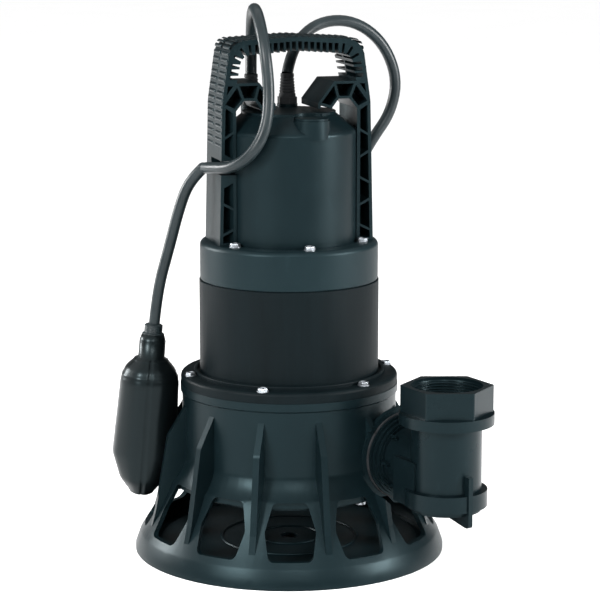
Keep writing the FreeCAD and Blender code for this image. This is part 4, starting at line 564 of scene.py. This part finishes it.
@dataclass
class Studio:
    """A pale floor, soft lamps and the camera."""

    distance: float = 1.87051
    height: float = 0.56684
    pitch: float = 0.184019
    yaw: float = 0.0050817
    lens: float = 132.0
    floor_reach: float = 30.0
    floor_height: float = -0.0003
    sky_strength: float = 0.12
    sun_strength: float = 3.25
    lamp_size: float = 0.5
    aim: Triple = (0, 0, 0.25)

    def build(self) -> None:
        """Make the floor, the sky, the lamps and the camera."""
        self.add_camera()
        self.add_floor()
        self.add_sky()
        self.add_sun()
        self.add_lamp("key", (-1.3, -1.5, 1.1), 60)
        self.add_lamp("front", (0.25, -2.2, 1.5), 22)
        self.add_lamp("side", (1.6, -0.5, 0.7), 55)
        self.add_lamp("rim", (-1.5, 0.6, 0.6), 30)

    def add_camera(self) -> None:
        """Place the camera at its height and distance, turned with the yard and tipped down."""
        turn = Matrix.Rotation(-YARD_TURN, 3, "Z")
        ahead = Vector((math.sin(self.yaw) * math.cos(self.pitch), math.cos(self.yaw) * math.cos(self.pitch),
                        -math.sin(self.pitch)))
        lens = bpy.data.cameras.new("camera")
        lens.lens = self.lens
        lens.sensor_width = 36
        lens.clip_end = 50
        camera = bpy.data.objects.new("camera", lens)
        camera.location = turn @ Vector((0, -self.distance, self.height))
        camera.rotation_euler = (turn @ ahead).to_track_quat("-Z", "Y").to_euler()
        bpy.context.scene.collection.objects.link(camera)
        bpy.context.scene.camera = camera

    def add_floor(self) -> None:
        """A wide pale floor just under the foot."""
        reach, level = self.floor_reach, self.floor_height
        corners = np.array([(-reach, -reach, level), (reach, -reach, level), (reach, reach, level),
                            (-reach, reach, level)])
        recipe = Recipe("pale_floor")
        recipe.set(Base_Color=recipe.blend(recipe.noise(3, 2), (0.90, 0.90, 0.90), (0.93, 0.93, 0.93)),
                   Roughness=0.9)
        floor = mesh_piece("floor", corners, [(0, 1, 2, 3)], recipe.material, smooth=False)

    def add_sky(self) -> None:
        """An even white sky."""
        world = bpy.data.worlds.new("sky")
        world.use_nodes = True
        back = world.node_tree.nodes["Background"]
        back.inputs["Color"].default_value = (1, 1, 1, 1)
        back.inputs["Strength"].default_value = self.sky_strength
        bpy.context.scene.world = world
        bpy.context.scene.view_settings.view_transform = "Standard"

    def add_sun(self) -> None:
        """A wide soft sun from above that keeps the whole floor pale."""
        light = bpy.data.lights.new("sun", "SUN")
        light.energy = self.sun_strength
        light.angle = math.radians(120)
        light.specular_factor = 0.05
        lamp = bpy.data.objects.new("sun", light)
        lamp.rotation_euler = (math.radians(12), math.radians(-8), 0)
        bpy.context.scene.collection.objects.link(lamp)

    def add_lamp(self, name: str, place: Triple, power: float) -> None:
        """A square soft lamp aimed at the pump's middle.

        Args:
            name: the lamp's name.
            place: where it stands, in the yard's own axes.
            power: its power in watts.
        """
        turn = Matrix.Rotation(-YARD_TURN, 3, "Z")
        light = bpy.data.lights.new(name, "AREA")
        light.size = self.lamp_size
        light.energy = power
        lamp = bpy.data.objects.new(name, light)
        lamp.location = turn @ Vector(place)
        aim = Vector(self.aim) - lamp.location
        lamp.rotation_euler = aim.to_track_quat("-Z", "Y").to_euler()
        bpy.context.scene.collection.objects.link(lamp)


# Cords


@dataclass
class Cord:
    """A round cord on one smooth line."""

    name: str
    finish: bpy.types.Material
    diameter: float = CORD_DIAMETER

    def line(self, points: np.ndarray) -> bpy.types.Object:
        """A smooth curve with the points as its control points, thickened to the cord's diameter.

        Args:
            points: control points, one row each.

        Returns:
            The curve object.
        """
        curve = bpy.data.curves.new(self.name, "CURVE")
        curve.dimensions = "3D"
        curve.resolution_u = 6
        curve.bevel_depth = self.diameter / 2
        curve.bevel_resolution = 5
        curve.use_fill_caps = True
        spline = curve.splines.new("NURBS")
        spline.points.add(len(points) - 1)
        spline.points.foreach_set("co", np.column_stack([points, np.ones(len(points))]).ravel())
        spline.order_u = 3
        spline.use_endpoint_u = True
        curve.materials.append(self.finish)
        piece = bpy.data.objects.new(self.name, curve)
        bpy.context.scene.collection.objects.link(piece)
        return piece


@dataclass
class FloatCable:
    """The float's cable: over the grip, down the front, through the notch and down to the float."""

    finishes: Finishes
    fixed_mm: tuple = ((-23.5, 37, 411.5), (-22, 42, 444), (-27, 18, 470), (-33, -22, 468), (-33.5, -47, 440),
                       (-30.7, -51, 404.5), (-34.5, -57, 375), (-45.9, -55, 353.3), (-60, -40, 340),
                       (-70.4, -12, 337.6), (-73.0, 1.1, 335.97))
    bend_mm: tuple = (-74, 6, 335.3)
    hanging_mm: tuple = ((-84.2, 13, 324), (-92, 18.8, 300.6), (-99.4, 23.9, 268))
    lead_mm: float = 173
    stop_mm: float = 124
    knuckle_rows: int = 17
    knuckle_steps: int = 32

    def build(self, float_place: Matrix) -> None:
        """Args:
            float_place: the float's own placement.
        """
        fixed = Cord("float_cable", self.finishes.sheath).line(np.array(self.fixed_mm) * MM)
        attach(fixed, "pump")
        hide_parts("float_cable_fixed")
        lead = [float_place @ Vector((0, 0, height * MM)) for height in (self.lead_mm, self.stop_mm)]
        route = np.vstack([np.array([self.bend_mm, *self.hanging_mm]) * MM, np.array(lead)])
        hanging = Cord("float_cable_drop", self.finishes.sheath).line(route)
        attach(hanging, "float")
        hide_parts("float_cable_hanging")
        knuckle = self.knuckle()
        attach(knuckle, "float")
        spline_length(fixed)
        spline_length(hanging)

    def knuckle(self) -> bpy.types.Object:
        """The rounded bend at the swing point: a ball, r (sin a, -cos a) turned about its axis.

        Returns:
            The ball.
        """
        angles = np.linspace(0, math.pi, self.knuckle_rows)
        radius = CORD_DIAMETER / 2
        profile = list(zip(radius * np.sin(angles), -radius * np.cos(angles)))
        points = turned_points(profile, self.knuckle_steps) + np.array(self.bend_mm) * MM
        faces = grid_faces(self.knuckle_rows, self.knuckle_steps)
        return mesh_piece("float_cable_bend", points, faces, self.finishes.sheath)


def spline_length(piece: bpy.types.Object) -> float:
    """The length of a curve's own line.

    Args:
        piece: the curve object.

    Returns:
        The length in metres.
    """
    bare = piece.data.copy()
    bare.bevel_depth = 0
    probe = bpy.data.objects.new("probe", bare)
    mesh = bpy.data.meshes.new_from_object(probe)
    points = np.empty(len(mesh.vertices) * 3)
    mesh.vertices.foreach_get("co", points)
    points = points.reshape(-1, 3)
    bpy.data.objects.remove(probe)
    bpy.data.meshes.remove(mesh)
    bpy.data.curves.remove(bare)
    return float(np.linalg.norm(np.diff(points, axis=0), axis=1).sum())


@dataclass
class PowerLead:
    """The supply lead: up from its gland, over and down behind the pump, coiled, and out to its plug."""

    finishes: Finishes
    coil_distance: float = 250 * MM
    coil_radius: float = 77.4 * MM
    columns: int = 4
    layers: int = 5
    lift: float = 1.0 * MM
    turn_points: int = 24
    first_angle: float = math.radians(-24)
    last_angle: float = math.radians(166.4)
    whole_turns: int = 19
    length: float = 10.0
    plug_start: float = -5 * MM
    plug_offset: float = 66 * MM
    plug_height: float = 69 * MM
    plug_length: float = 46 * MM
    plug_head: float = 16 * MM
    flute_count: int = 10
    flute_depth: float = 0.07
    tie_angles: tuple[int, ...] = (30, 140, 250)
    tie_width: float = 9 * MM
    tie_thickness: float = 1.0 * MM
    tie_steps: int = 64
    route_mm: tuple = ((8, 34, 411.5), (14, 41, 433), (38, 49, 454), (72, 53, 456), (101, 56, 437),
                       (116, 57, 404), (110, 56.5, 373), (92, 54, 350), (81.3, 68.8, 322), (72.2, 92, 270),
                       (73.3, 114.6, 205), (76.7, 134.4, 135), (95, 150, 85), (128, 172, 56))
    tail_mm: tuple = ((-63, -18, 51), (-55, -47, 61), (-32, -64, 68), (-5, -66, 69))

    def yard(self) -> Matrix:
        """The yard's placement: its origin at the coil's middle on the ground, its -Y towards the camera."""
        turn = Matrix.Rotation(-YARD_TURN, 4, "Z")
        return turn @ Matrix.Translation((0, self.coil_distance, 0))

    def coil(self) -> np.ndarray:
        """Control points of the wound turns.

        Each turn keeps one place in the coil's section, and over its last fifth moves to the next place:
        down the outermost column, up the next one in, and so on. A point is (r cos a, r sin a, z), with
        r and z from that place and a growing evenly.

        Returns:
            The points, in the yard's axes.
        """
        total = self.whole_turns + (self.last_angle - self.first_angle) / (2 * math.pi)
        count = int(total * self.turn_points)
        turns = np.linspace(0, total, count)
        places = []
        for column in range(self.columns):
            rows = range(self.layers) if column % 2 else range(self.layers - 1, -1, -1)
            places += [(column, row) for row in rows]
        places.append(places[-1])
        table = np.array(places, float)
        index = np.minimum(turns.astype(int), len(places) - 2)
        share = smooth_step((turns - index - 0.8) / 0.2)
        spot = table[index] + (table[index + 1] - table[index]) * share[:, None]
        outer = self.coil_radius + (self.columns - 1) * CORD_DIAMETER / 2
        radius = outer - spot[:, 0] * CORD_DIAMETER
        height = self.lift + CORD_DIAMETER * (spot[:, 1] + 0.5)
        angle = self.first_angle + turns * 2 * math.pi
        return np.stack([radius * np.cos(angle), radius * np.sin(angle), height], axis=-1)

    def build(self) -> None:
        coil = moved(self.coil(), self.yard())
        tail = moved(np.array(self.tail_mm) * MM, self.yard())
        route = np.vstack([np.array(self.route_mm) * MM, coil, tail])
        lead = Cord("power_lead", self.finishes.sheath).line(route)
        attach(lead, "pump")
        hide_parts("power_cord", "cord_coil", "cord_tail")
        plug = self.plug()
        ties = self.ties()
        LOG.info("power lead measures %.2f m", spline_length(lead))

    def plug(self) -> bpy.types.Object:
        """A round plug: a turned profile, with flutes cut into its grip.

        Over the grip the radius is r (1 - depth (0.5 + 0.5 cos n a)), for n flutes.

        Returns:
            The plug.
        """
        face = self.plug_length - self.plug_head
        profile = [(0, 0), (5.4, 0), (5.8, 0.8), (6.4, 6), (6.1, 7), (6.7, 8.5), (6.5, 9.5), (7.4, 13),
                   (8.4, 18), (12, 22.5), (13.6, 25), (14.2, 28), (17.5, 30), (18.6, 31.2), (19, 32.6),
                   (19, 44.5), (18.6, 45.6), (18, 46), (16.6, 46), (16.2, 44.9), (0, 44.9)]
        points = turned_points([(radius * MM, height * MM) for radius, height in profile], 80)
        along = points[..., 2]
        grip = (smooth_step((along - 20 * MM) / (4 * MM))
                * (1 - smooth_step((along - face + 2 * MM) / (3 * MM))))
        angle = np.arctan2(points[..., 1], points[..., 0])
        swell = 1 - self.flute_depth * grip * (0.5 + 0.5 * np.cos(self.flute_count * angle))
        points[..., :2] *= swell[..., None]
        place = self.yard() @ Matrix.Translation((self.plug_start, -self.plug_offset, self.plug_height))
        place = place @ Matrix.Rotation(math.radians(90), 4, "Y")
        piece = mesh_piece("plug_shell", moved(points, place), grid_faces(len(profile), 80),
                           self.finishes.rubber)
        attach(piece, "pump")
        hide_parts("plug_body")
        return piece

    def ties(self) -> bpy.types.Object:
        """Flat bands round the coil, one at each angle.

        A band follows a rounded oblong round the coil's section: (cos a, sin a), each part times 1.6, held
        within 1 and raised to the power 0.6 with its sign kept.

        Returns:
            The bands as one piece.
        """
        half_width = self.columns * CORD_DIAMETER / 2 + 1.1 * MM
        high = self.lift + self.layers * CORD_DIAMETER + 1.1 * MM
        middle = high / 2
        angles = np.linspace(0, 2 * math.pi, self.tie_steps, endpoint=False)
        oblong = np.stack([np.cos(angles), np.sin(angles)], axis=-1)
        oblong = np.sign(oblong) * np.minimum(np.abs(oblong) * 1.6, 1) ** 0.6
        outer = np.array([self.coil_radius, middle]) + oblong * np.array([half_width, middle])
        centre = np.array([self.coil_radius, middle])
        spread = np.linalg.norm(outer - centre, axis=1)[:, None]
        inner = centre + (outer - centre) * (1 - self.tie_thickness / spread)
        edge = self.tie_width / 2
        loops = []
        for side, ring in ((-edge, inner), (-edge, outer), (edge, outer), (edge, inner)):
            loops.append(np.stack([ring[:, 0], np.full(len(ring), side), ring[:, 1]], axis=-1))
        band = np.stack(loops)
        points = [moved(band, self.yard() @ Matrix.Rotation(math.radians(angle), 4, "Z"))
                  for angle in self.tie_angles]
        faces = copied_faces(grid_faces(len(loops), self.tie_steps, round_rows=True), len(points),
                             len(loops) * self.tie_steps)
        piece = mesh_piece("coil_bands", np.array(points), faces, self.finishes.rubber)
        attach(piece, "pump")
        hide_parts("coil_ties")
        return piece


# The float


@dataclass
class Float:
    """The float: two faceted shells on one seam, with a neck, a collar and a raised strap ridge."""

    finishes: Finishes
    foot_mm: tuple = (-125.3, 33.7, 50)
    turn: float = math.radians(-12)
    tilt: float = math.radians(4.9)
    sections: tuple = ((0, 10, 18), (12, 20, 26), (34, 28, 27.5), (100, 25.5, 26.5), (110, 22, 23.5),
                       (118, 14, 15))
    neck: tuple = ((119.5, 11.5), (134, 11.5), (140, 9.5))
    sides: int = 96
    rows: int = 120
    slant_reach: float = 1.62
    slant_cut: float = 1.12
    sharpness: int = 11
    seam_mm: tuple[float, float] = (0.9, 0.7)
    lip_mm: Triple = (0.35, 2.6, 1.1)
    ridge_mm: Triple = (0.5, 104, 1.2)
    collar_rings: int = 5

    def place(self) -> Matrix:
        """The float's own placement, its foot at the origin and its neck along +Z."""
        return (Matrix.Translation(Vector(self.foot_mm) * MM) @ Matrix.Rotation(self.turn, 4, "Z")
                @ Matrix.Rotation(self.tilt, 4, "Y"))

    def surface(self) -> np.ndarray:
        """Points of the whole float, row by row from its foot to its neck.

        At a height the half thickness and half width are read from the sections and smoothed over a few
        millimetres. A row is an octagon with softened corners: the distance from the axis in a direction is
        the inverse of the 11-norm of the inverse distances to the straight and slanted sides. The seam's
        groove is depth exp(-(x / width)^2). The lip beside it is depth exp(-((|x| - place) / width)^2), and
        the strap ridge is the same in height.

        Returns:
            The points, in metres, in the float's own placement.
        """
        heights = np.linspace(0, self.sections[-1][0], self.rows)
        table = np.array(self.sections, float)
        window = np.exp(-0.5 * (np.linspace(-1, 1, 9) / 0.5) ** 2)
        window /= window.sum()
        halves = []
        for column in (1, 2):
            raw = np.interp(heights, table[:, 0], table[:, column])
            smooth = np.convolve(np.pad(raw, 4, mode="edge"), window, mode="valid")
            halves.append(smooth[:, None])
        thick, wide = halves
        turn = np.linspace(0, 2 * math.pi, self.sides, endpoint=False)[None, :]
        across, along = np.abs(np.cos(turn)), np.abs(np.sin(turn))
        slant = (across / thick + along / wide) * self.slant_cut / self.slant_reach
        walls = np.stack([across / thick, along / wide, slant])
        radius = 1 / (walls ** self.sharpness).sum(axis=0) ** (1 / self.sharpness)
        x = radius * np.cos(turn)
        y = radius * np.sin(turn)
        depth, width = self.seam_mm
        seam = depth * np.exp(-(x / width) ** 2)
        depth, place, width = self.lip_mm
        lip = depth * np.exp(-((np.abs(x) - place) / width) ** 2)
        depth, place, width = self.ridge_mm
        ridge = depth * np.exp(-((heights[:, None] - place) / width) ** 2)
        scale = 1 + (ridge + lip - seam) / np.maximum(radius, 8)
        return np.stack([x * scale, y * scale, np.broadcast_to(heights[:, None], x.shape)], axis=-1) * MM

    def build(self) -> None:
        """Make the shells and the neck, riding on the float."""
        rows = self.surface()
        neck = turned_points([(radius * MM, height * MM) for height, radius in self.neck], self.sides)
        points = np.concatenate([rows, neck])
        shells = mesh_piece("float_shells", moved(points, self.place()),
                            grid_faces(len(points), self.sides, capped=True), self.finishes.floats)
        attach(shells, "float")
        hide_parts("float_shell_left", "float_shell_right")
        self.collar()

    def collar(self) -> None:
        """The cable collar: a turned sleeve with clamping rings, each raised 0.4 mm."""
        profile = [(5.2, 138.5), (9.3, 138.5), (9.5, 139.2), (9.5, 140.4), (8.2, 141)]
        for step in range(self.collar_rings):
            foot = 141.2 + step * 1.35
            profile += [(7.6, foot), (8.0, foot + 0.35), (8.0, foot + 0.8), (7.6, foot + 1.1)]
        profile += [(7.2, 148), (6.4, 148.6), (5.0, 148.7)]
        points = turned_points([(radius * MM, height * MM) for radius, height in profile], 64)
        piece = mesh_piece("float_sleeve", moved(points, self.place()),
                           grid_faces(len(profile), 64, round_rows=True), self.finishes.sheath)
        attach(piece, "float")
        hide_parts("float_collar")


@dataclass
class Screws:
    """Washer-faced hexagon screws in a ring, finely shaped."""

    finishes: Finishes
    name: str
    node: str
    circle_mm: float
    first: float
    seat_mm: float
    flats_mm: float = 8.0
    washer_mm: float = 4.9
    height_mm: float = 3.2
    heads: int = 6
    steps: int = 48

    def build(self) -> None:
        """Make the ring of heads.

        A head is a grid: its rows are a washer, a chamfered hexagon and a shallow dished top; the hexagon's
        distance in a direction a is the flat's half width over the cosine of a folded into one sixth. Each
        head is left at a turn of its own.
        """
        count = self.steps
        angle = np.linspace(0, 2 * math.pi, count, endpoint=False)
        folded = (angle + math.pi / 6) % (math.pi / 3) - math.pi / 6
        hexagon = self.flats_mm / 2 / np.cos(folded)
        circle = np.full(count, 1.0)
        hex_round = np.minimum(hexagon, self.flats_mm / 2 * 1.1)
        rows = [(circle * self.washer_mm, -0.2), (circle * self.washer_mm, 0.5), (circle * 4.6, 0.85),
                (hexagon, 0.9), (hexagon, 2.5), (hex_round * 0.95, 3.0), (circle * 3.5, self.height_mm),
                (circle * 2.9, self.height_mm), (circle * 2.5, self.height_mm - 0.45), (circle * 0.05, 2.7)]
        head = np.stack([np.stack([row * np.cos(angle), row * np.sin(angle), np.full(count, height)], axis=-1)
                         for row, height in rows])
        points = []
        for step in range(self.heads):
            bearing = math.radians(self.first + step * 360 / self.heads)
            place = np.array([self.circle_mm * math.sin(bearing), -self.circle_mm * math.cos(bearing),
                              self.seat_mm])
            spin = np.array(Matrix.Rotation(bearing * 3.1 + step, 3, "Z"))
            points.append(head @ spin.T + place)
        faces = copied_faces(grid_faces(len(rows), count, capped=True), self.heads, len(rows) * count)
        piece = mesh_piece(self.name, np.array(points) * MM, faces, self.finishes.zinc, smooth=False)
        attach(piece, "pump")
        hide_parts(self.node)


@dataclass
class Grip:
    """The raised ridges along the outer face of the handle, in two rows with a plain band between them."""

    finishes: Finishes
    pitch_mm: float = 5.5
    rise_mm: float = 0.9
    half_width_mm: float = 1.5
    sunk_mm: float = 0.1
    rows_mm: tuple = ((-25.0, -3.0), (3.0, 25.0))
    middle_mm: tuple[float, float] = (0, 380)
    step_mm: float = 0.25
    outer_mm: tuple = ((65.2, 352), (64.6, 392), (57.3, 443.5), (0, 447.0), (-57.3, 443.5), (-64.6, 392),
                       (-65.2, 352))
    rounding_mm: float = 14

    def path(self) -> tuple[np.ndarray, np.ndarray]:
        """Evenly spaced places along the handle's outer edge, and the direction out of it at each.

        The edge is the outline's straight pieces, smoothed at the corners by a moving mean over 14 mm.

        Returns:
            The places and the directions, one row each, across and up.
        """
        corners = np.array(self.outer_mm, float)
        run = np.concatenate([[0], np.cumsum(np.linalg.norm(np.diff(corners, axis=0), axis=1))])
        fine = np.arange(0, run[-1], self.step_mm)
        places = np.stack([np.interp(fine, run, corners[:, 0]), np.interp(fine, run, corners[:, 1])], axis=-1)
        reach = int(self.rounding_mm / self.step_mm / 2)
        sums = np.cumsum(np.pad(places, ((reach + 1, reach), (0, 0)), mode="edge"), axis=0)
        mean = (sums[2 * reach + 1:] - sums[:-2 * reach - 1]) / (2 * reach + 1)
        along = np.gradient(mean, axis=0)
        along /= np.linalg.norm(along, axis=1)[:, None]
        outward = np.stack([-along[:, 1], along[:, 0]], axis=-1)
        outward *= np.sign((outward * (mean - np.array(self.middle_mm))).sum(axis=1))[:, None]
        stride = int(self.pitch_mm / self.step_mm)
        return mean[stride // 2::stride], outward[stride // 2::stride]

    def build(self) -> None:
        """Make every ridge as a low rounded bar across the handle's depth, one each side of the middle band.

        A bar's section is an arch: its height is rise times the cosine of the place across it, and it falls
        to nothing in two steps at each end.
        """
        places, outward = self.path()
        across = np.linspace(-1, 1, 9)
        ends = np.array([0.0, 0.04, 0.12, 0.5, 0.88, 0.96, 1.0])
        lift_ends = np.array([0.0, 0.7, 1.0, 1.0, 1.0, 0.7, 0.0])
        along = np.stack([-outward[:, 1], outward[:, 0]], axis=-1)
        height = self.rise_mm * np.cos(across * math.pi / 2)[:, None] * lift_ends[None, :]
        breadth = (across * self.half_width_mm)[:, None, None]
        points = []
        for start, stop in self.rows_mm:
            depth = start + (stop - start) * ends
            for place, out, side in zip(places, outward, along):
                flat = place[None, None, :] + side * breadth + out * (height[..., None] - self.sunk_mm)
                bar = np.stack([flat[..., 0], np.broadcast_to(depth, flat.shape[:2]), flat[..., 1]], axis=-1)
                points.append(bar)
        faces = copied_faces(grid_faces(len(across), len(ends), round_columns=False), len(points),
                             len(across) * len(ends))
        piece = mesh_piece("handle_ridges", np.array(points) * MM, faces, self.finishes.handle)
        thick = piece.modifiers.new("body", "SOLIDIFY")
        thick.thickness = 0.3 * MM
        thick.offset = 0
        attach(piece, "pump")


@dataclass
class Thread:
    """The pipe thread inside the elbow's socket."""

    finishes: Finishes
    turn: float = math.radians(15)
    across_mm: float = 59
    reach_mm: float = 156
    radius_mm: float = 29.8
    foot_mm: float = 143.4
    top_mm: float = 164.6
    pitch_mm: float = 2.309
    depth_mm: float = 1.3
    clearance_mm: float = 0.02
    wall_mm: float = 0.4
    fade_mm: float = 2
    steps: int = 120

    def build(self) -> None:
        """Make a ridged lining, whose ridges fade out at both ends.

        Its radius is R - depth (0.5 + 0.5 cos(2 pi z / pitch - a)).
        """
        angle = np.linspace(0, 2 * math.pi, self.steps, endpoint=False)[None, :]
        height = np.linspace(self.foot_mm, self.top_mm, 130)[:, None]
        phase = 2 * math.pi * (height / self.pitch_mm) - angle
        fade = (smooth_step((self.top_mm - height) / self.fade_mm)
                * smooth_step((height - self.foot_mm) / self.fade_mm))
        radius = self.radius_mm - self.clearance_mm - self.depth_mm * (0.5 + 0.5 * np.cos(phase)) * fade
        places = np.stack([radius * np.cos(angle), radius * np.sin(angle),
                           np.broadcast_to(height, radius.shape)], axis=-1)
        place = (Matrix.Rotation(self.turn, 4, "Z")
                 @ Matrix.Translation((self.across_mm * MM, -self.reach_mm * MM, 0)))
        outer = places.copy()
        outer[..., :2] *= (self.radius_mm + self.wall_mm) / radius[..., None]
        points = np.concatenate([places, outer[::-1]])
        piece = mesh_piece("socket_thread", moved(points * MM, place),
                           grid_faces(len(points), self.steps, round_rows=True), self.finishes.elbow)
        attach(piece, "pump")


@dataclass
class Reliefs:
    """The two ribbed rubber reliefs on the glands, tapered to the cord."""

    finishes: Finishes
    places_mm: tuple = (("float_boot", "float_relief", -23.5, 37), ("power_boot", "power_relief", 8, 34))
    foot_mm: float = 391.5
    height_mm: float = 20
    foot_radius_mm: float = 7.4
    taper_mm: float = 1.7
    groove_mm: float = 0.55
    grooves: int = 6

    def build(self) -> None:
        """Turned sleeves: r falls evenly by the taper, less grooves that each dip as a cosine."""
        height = np.linspace(0, self.height_mm, 90)
        share = height / self.height_mm
        groove = 0.5 - 0.5 * np.cos(2 * math.pi * np.clip((share - 0.12) / 0.76, 0, 1) * self.grooves)
        outer = self.foot_radius_mm - self.taper_mm * share - self.groove_mm * groove
        profile = list(zip(outer * MM, (self.foot_mm + height) * MM))
        profile.append((5.0 * MM, (self.foot_mm + self.height_mm + 0.3) * MM))
        profile.append((4.2 * MM, (self.foot_mm + self.height_mm - 1) * MM))
        profile.append((4.2 * MM, self.foot_mm * MM))
        for name, node, across, back in self.places_mm:
            points = turned_points(profile, 48) + np.array([across, back, 0]) * MM
            piece = mesh_piece(name, points, grid_faces(len(profile), 48, round_rows=True),
                               self.finishes.rubber)
            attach(piece, "pump")
            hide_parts(node)


# The whole pump


@dataclass
class Pump:
    """The pump: the frame's own nodes, dressed in their finishes."""

    frame: dict
    finishes: Finishes

    def dresses(self) -> dict:
        """Which of the frame's nodes take each finish.

        Returns:
            The nodes' names by material.
        """
        look = self.finishes
        return {
            look.housing: ("pump_body", "foot_plate", "suction_plate", "impeller", "cap_plug", "cap"),
            look.band: ("motor_cover",),
            look.handle: ("handle",),
            look.elbow: ("outlet_elbow",),
            look.casing: ("motor_casing",),
            look.rubber: ("outlet_seal", "carrier_oring", "lip_seal", "float_gland", "power_gland"),
            look.zinc: ("suction_screws",),
            look.steel: ("shaft", "impeller_key", "impeller_nut", "impeller_washer", "seal_spring",
                         "lower_bearing", "upper_bearing", "wave_washer", "float_ball"),
            look.ceramic: ("seal_head", "seal_seat"),
            look.brackets: ("seal_carrier", "lower_bracket", "upper_bracket", "stator_frame"),
            look.laminations: ("stator_core", "rotor_core"),
            look.copper: ("lower_winding", "upper_winding"),
            look.pale: ("cap_tray", "capacitor", "terminal_block", "float_switch", "ball_channel"),
            look.pins: ("plug_pins",),
        }

    def dress(self) -> None:
        """Give every node its finish, and round the edges of the ones that show."""
        softened = {"pump_body": 0.7, "foot_plate": 0.4, "suction_plate": 0.4, "motor_casing": 0.5,
                    "motor_cover": 0.6, "cap": 0.6, "cap_plug": 0.5, "handle": 0.35, "outlet_elbow": 0.6,
                    "float_gland": 0.4, "power_gland": 0.4, "plug_pins": 0.5}
        for finish, names in self.dresses().items():
            for name in names:
                node = self.frame["nodes"][name]
                node.data.materials.clear()
                node.data.materials.append(finish)
                if name in softened:
                    soften(node, softened[name] * MM)


def main() -> None:
    """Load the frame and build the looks."""
    logging.basicConfig(level=logging.INFO, format="%(message)s")
    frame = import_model()
    finishes = Finishes()
    Studio().build()
    PowerLead(finishes).build()
    floater = Float(finishes)
    floater.build()
    FloatCable(finishes).build(floater.place())
    Screws(finishes, "flange_hex_screws", "flange_screws", 87.8, 30, 157.0).build()
    Screws(finishes, "cover_hex_screws", "cover_screws", 64.4, 0, 272.5).build()
    Grip(finishes).build()
    Thread(finishes).build()
    Reliefs(finishes).build()
    Pump(frame, finishes).dress()


if __name__ == "__main__":
    main()
